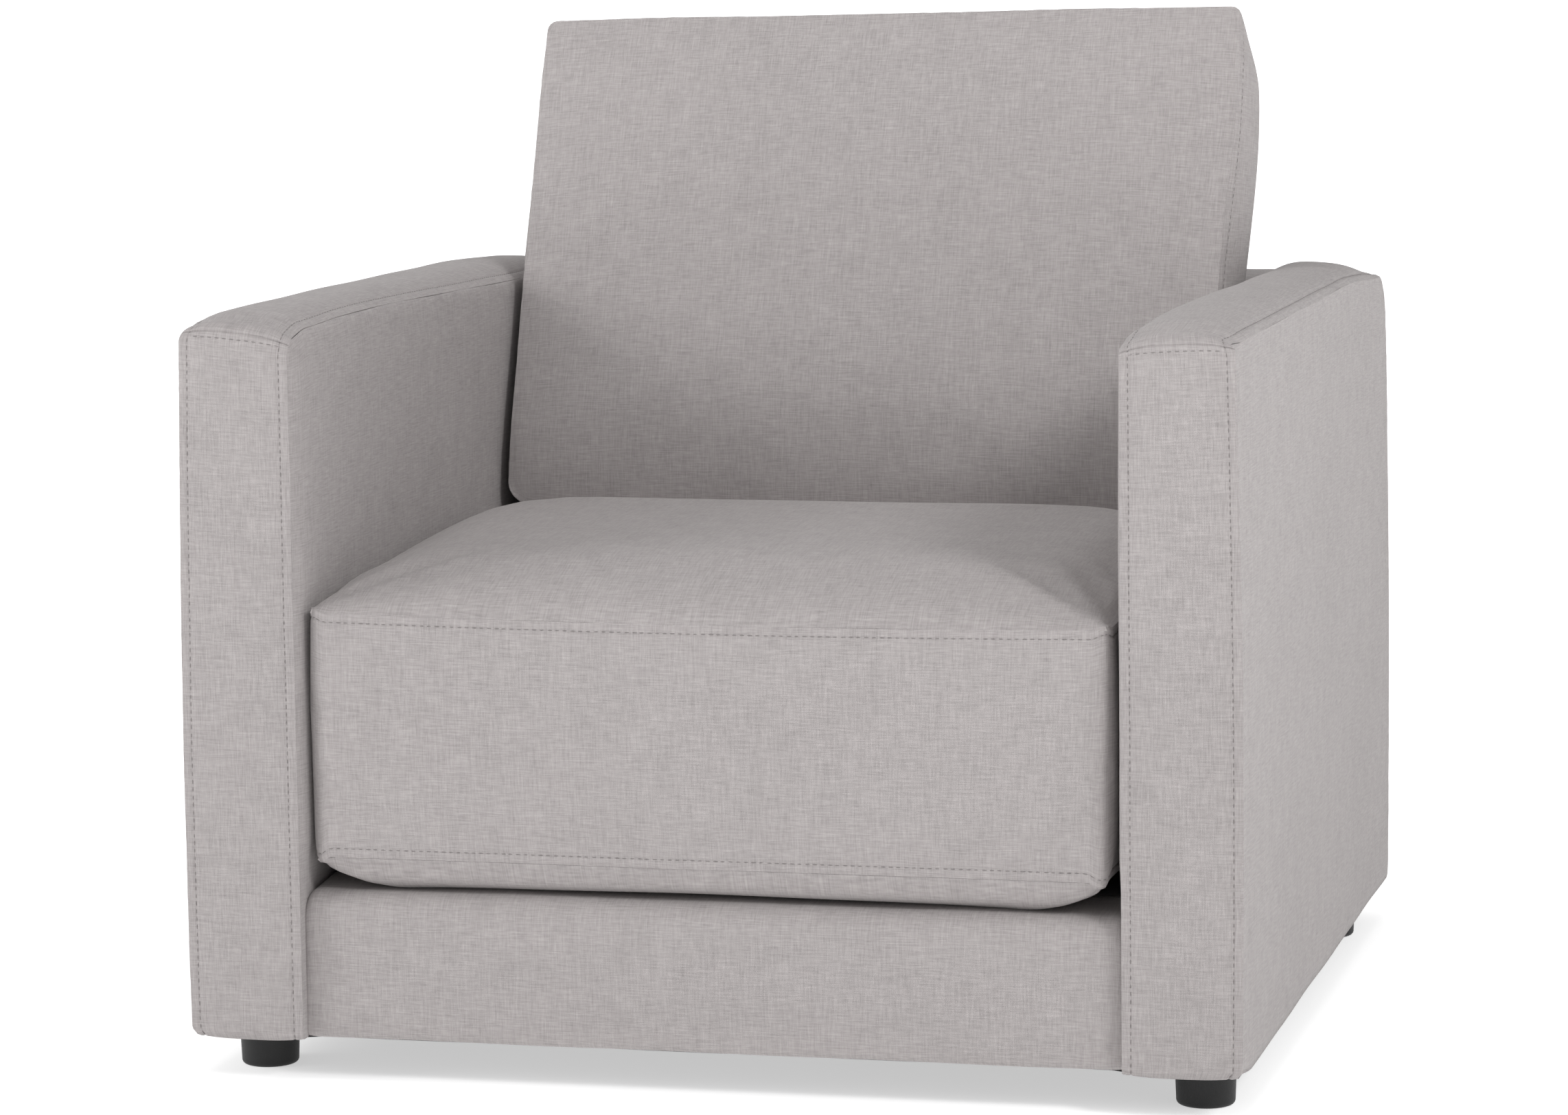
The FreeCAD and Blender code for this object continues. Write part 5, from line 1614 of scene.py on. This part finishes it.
STAPLE_INSET = 20 * MM
staple_z = dust_low[2] - 0.8 * MM
right_front = (dust_low[0], dust_low[1], staple_z)
left_front = (dust_high[0], dust_low[1], staple_z)
right_rear = (dust_low[0], dust_high[1], staple_z)
left_rear = (dust_high[0], dust_high[1], staple_z)
rows = []
for start, end, inset in [
    (right_front, left_front, np.array([0, STAPLE_INSET, 0])),
    (right_rear, left_rear, np.array([0, -STAPLE_INSET, 0])),
    (right_front, right_rear, np.array([STAPLE_INSET, 0, 0])),
    (left_front, left_rear, np.array([-STAPLE_INSET, 0, 0])),
]:
    way_in = np.abs(inset) / STAPLE_INSET
    rows.append(swept(staple_row(start, end, inset), STAPLE_RADIUS, 6, way_in))
staples = tube_mesh("dust_cover_staples", np.concatenate(rows))
staple_piece = add_piece("dust_cover_staples", staples, zinc_steel, "frame")

# %% Sinuous springs
SPRING_COUNT = 5
SPRING_TURNS = 28
SPRING_WIRE = 1.9 * MM
SPRING_PITCH = 120 * MM
spring_low, spring_high = (np.array(c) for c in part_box("seat_springs"))
spring_step = (spring_high[1] - spring_low[1] - 2 * SPRING_WIRE) / SPRING_TURNS
spring_half = (spring_high[0] - spring_low[0]) / 2 - SPRING_WIRE - SPRING_PITCH * (SPRING_COUNT - 1) / 2
turn = np.arange(SPRING_TURNS)[:, None]
angle = np.linspace(-np.pi / 2, np.pi / 2, 9)[None, :]
bend_radius = spring_step / 2
spring_x = (-1.0) ** turn * (spring_half - bend_radius + bend_radius * np.cos(angle))
spring_y = spring_low[1] + SPRING_WIRE + spring_step * (turn + 0.5) + bend_radius * np.sin(angle)
spring_path = np.stack([spring_x.ravel(), spring_y.ravel()], axis=-1)
spring_z = np.full((len(spring_path), 1), (spring_low[2] + spring_high[2]) / 2)
spring_path = np.concatenate([spring_path, spring_z], axis=1)
spring_shift = (np.arange(SPRING_COUNT) - (SPRING_COUNT - 1) / 2)[:, None, None] * [SPRING_PITCH, 0, 0]
springs = tube_mesh("sinuous_springs", swept(spring_path[None] + spring_shift, SPRING_WIRE))
add_piece("sinuous_springs", springs, spring_steel, "frame", ["seat_springs"])

# %% Webbing of the fixed back
STRAP_COUNT = 5
STRAP_WIDTH = 60 * MM
STRAP_THICK = 2 * MM
STRAP_PITCH = 130 * MM
strap_low, strap_high = (np.array(c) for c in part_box("back_webbing"))
STRAP_RISE = (strap_high[2] - strap_low[2]) / math.cos(BACK_LEAN) - 1 * MM
strap_across = np.array([0.0, -math.cos(BACK_LEAN), math.sin(BACK_LEAN)])
strap_ahead = np.array([0.0, math.sin(BACK_LEAN), math.cos(BACK_LEAN)])
strap_foot = np.array([0.0, strap_low[1] + STRAP_THICK, strap_low[2] + 0.6 * MM])


def lay_strap(grid):
    """(x, up, out) to space; a stretched strap narrows by 3 % half way up."""
    share = np.clip(grid[..., 1:2] / STRAP_RISE, 0, 1)
    x = grid[..., 0:1] * (1 - 0.03 * np.sin(np.pi * share) ** 0.5)
    return strap_foot + x * [1.0, 0.0, 0.0] + grid[..., 1:2] * strap_ahead + grid[..., 2:3] * strap_across


strap_box = (-STRAP_WIDTH / 2, 0, 0), (STRAP_WIDTH / 2, STRAP_RISE, STRAP_THICK)
strap_grids = rounded_box(*strap_box, 0.9 * MM, 15 * MM)
for number in range(STRAP_COUNT):
    shift = np.array([(number - (STRAP_COUNT - 1) / 2) * STRAP_PITCH, 0, 0])
    maps = [grid[..., :2] + CLOTH_STARTS["webbing"] + number for grid in strap_grids]
    heart = lay_strap(np.array([[0, STRAP_RISE / 2, STRAP_THICK / 2]]))[0] + shift
    name = "strap_%d" % (number + 1)
    mesh = build_mesh(name, [lay_strap(grid) + shift for grid in strap_grids], maps, heart, 1e-7)
    strap = add_piece("webbing_" + name, mesh, strap_weave, "frame")
    if number == 0:
        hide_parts("back_webbing")

# %% [markdown]
# ## Zip tapes, teeth and sliders
# A zip has two tapes, a row of teeth on the edge of each, and a slider. The teeth of one tape
# stand in the gaps of the other, so the two rows are one row of teeth that point left and
# right in turn.

# %% Both zips
TAPE_HALF = 12 * MM
TOOTH_PITCH = 2.0 * MM
TAPE_LEVELS = (-4.75 * MM, -4.05 * MM)
TOOTH_LEVELS = np.array([-4.2, -3.9, -3.3, -3.0]) * MM
TOOTH_SIZES = np.array([1.0, 1.0, 1.0, 0.6])
SLIDER_LENGTH = 12 * MM
SLIDER_HALF = 4.3 * MM
SLIDER_LEVELS = (-2.8 * MM, -0.9 * MM)
PULL_LENGTH = 18 * MM
PULL_HALF = 3.6 * MM
PULL_WIRE = 0.7 * MM
BRIDGE_WIRE = 0.6 * MM


def sew_zip(name, zip_place, node, body):
    """Tapes, teeth and the slider with its pull, all placed by the zip's own directions."""

    def place(grid):
        return zip_place.point(grid[..., 0], grid[..., 1], grid[..., 2])

    for way, side in ((-1, "lower"), (1, "upper")):
        near, far = sorted([way * 1.0 * MM, way * TAPE_HALF])
        low, high = (-ZIP_REACH, near, TAPE_LEVELS[0]), (ZIP_REACH, far, TAPE_LEVELS[1])
        tape = box_mesh(name + "_tape_" + side, low, high, 0.3 * MM, 6 * MM, place)
        piece = add_piece(name + "_tape_" + side, tape, tape_weave, body)
        if way < 0:
            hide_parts(node)
    x = np.arange(-ZIP_REACH + 3 * MM, ZIP_REACH - 3 * MM, TOOTH_PITCH)
    way = np.where(np.arange(len(x)) % 2 == 0, 1.0, -1.0)
    corner_x = np.array([-1, 1, 1, -1]) * 0.62 * MM
    corner_over = np.array([-0.7, -0.7, 2.3, 2.3]) * MM
    centre_over = 0.8 * MM
    size = TOOTH_SIZES[None, :, None]
    teeth_x = x[:, None, None] + size * corner_x
    teeth_over = way[:, None, None] * (centre_over + size * (corner_over - centre_over))
    teeth_out = np.broadcast_to(TOOTH_LEVELS[None, :, None], teeth_x.shape)
    teeth = zip_place.point(teeth_x, teeth_over, teeth_out)
    for part, first in (("_teeth_upper", 0), ("_teeth_lower", 1)):
        row = tube_mesh(name + part, teeth[first::2])
        add_piece(name + part, row, zip_metal, body)
    slider_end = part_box(node + "_slider")[1][0]
    slider_start = slider_end - SLIDER_LENGTH
    pull_end = slider_start - PULL_LENGTH
    slider_ride = body.replace("cushion", "zip") + "_slider"
    low = (slider_start, -SLIDER_HALF, SLIDER_LEVELS[0])
    high = (slider_end, SLIDER_HALF, SLIDER_LEVELS[1])
    slider = box_mesh(name + "_slider_body", low, high, 0.7 * MM, 4 * MM, place)
    slider_piece = add_piece(name + "_slider_body", slider, zip_metal, slider_ride)
    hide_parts(node + "_slider")
    turn = np.linspace(0, 2 * np.pi, 33)
    reach = (slider_start + 6 * MM - pull_end) / 2
    ring_x = pull_end + 0.8 * MM + reach + reach * np.sign(np.cos(turn)) * np.abs(np.cos(turn)) ** 0.5
    ring_over = PULL_HALF * np.sign(np.sin(turn)) * np.abs(np.sin(turn)) ** 0.5
    rise_x = [pull_end, slider_start - 3 * MM, slider_start + 8 * MM]
    ring_out = np.interp(ring_x, rise_x, [-2.0 * MM, -1.6 * MM, -0.2 * MM])
    path = zip_place.point(ring_x, ring_over, ring_out)
    pull = tube_mesh(name + "_pull", swept(path[None], PULL_WIRE, 8, zip_place.out))
    add_piece(name + "_pull", pull, zip_metal, slider_ride)
    bridge = np.linspace(0, np.pi, 13)
    bridge_x = (slider_start + slider_end) / 2 - 4 * MM * np.cos(bridge)
    path = zip_place.point(bridge_x, np.zeros(13), -1.1 * MM + 1.7 * MM * np.sin(bridge))
    arch = tube_mesh(name + "_bridge", swept(path[None], BRIDGE_WIRE, 8, zip_place.across))
    add_piece(name + "_bridge", arch, zip_metal, slider_ride)


sew_zip("seat_zip", seat_zip, "seat_cushion_zip", "seat_cushion")
sew_zip("back_zip", back_zip, "back_cushion_zip", "back_cushion")
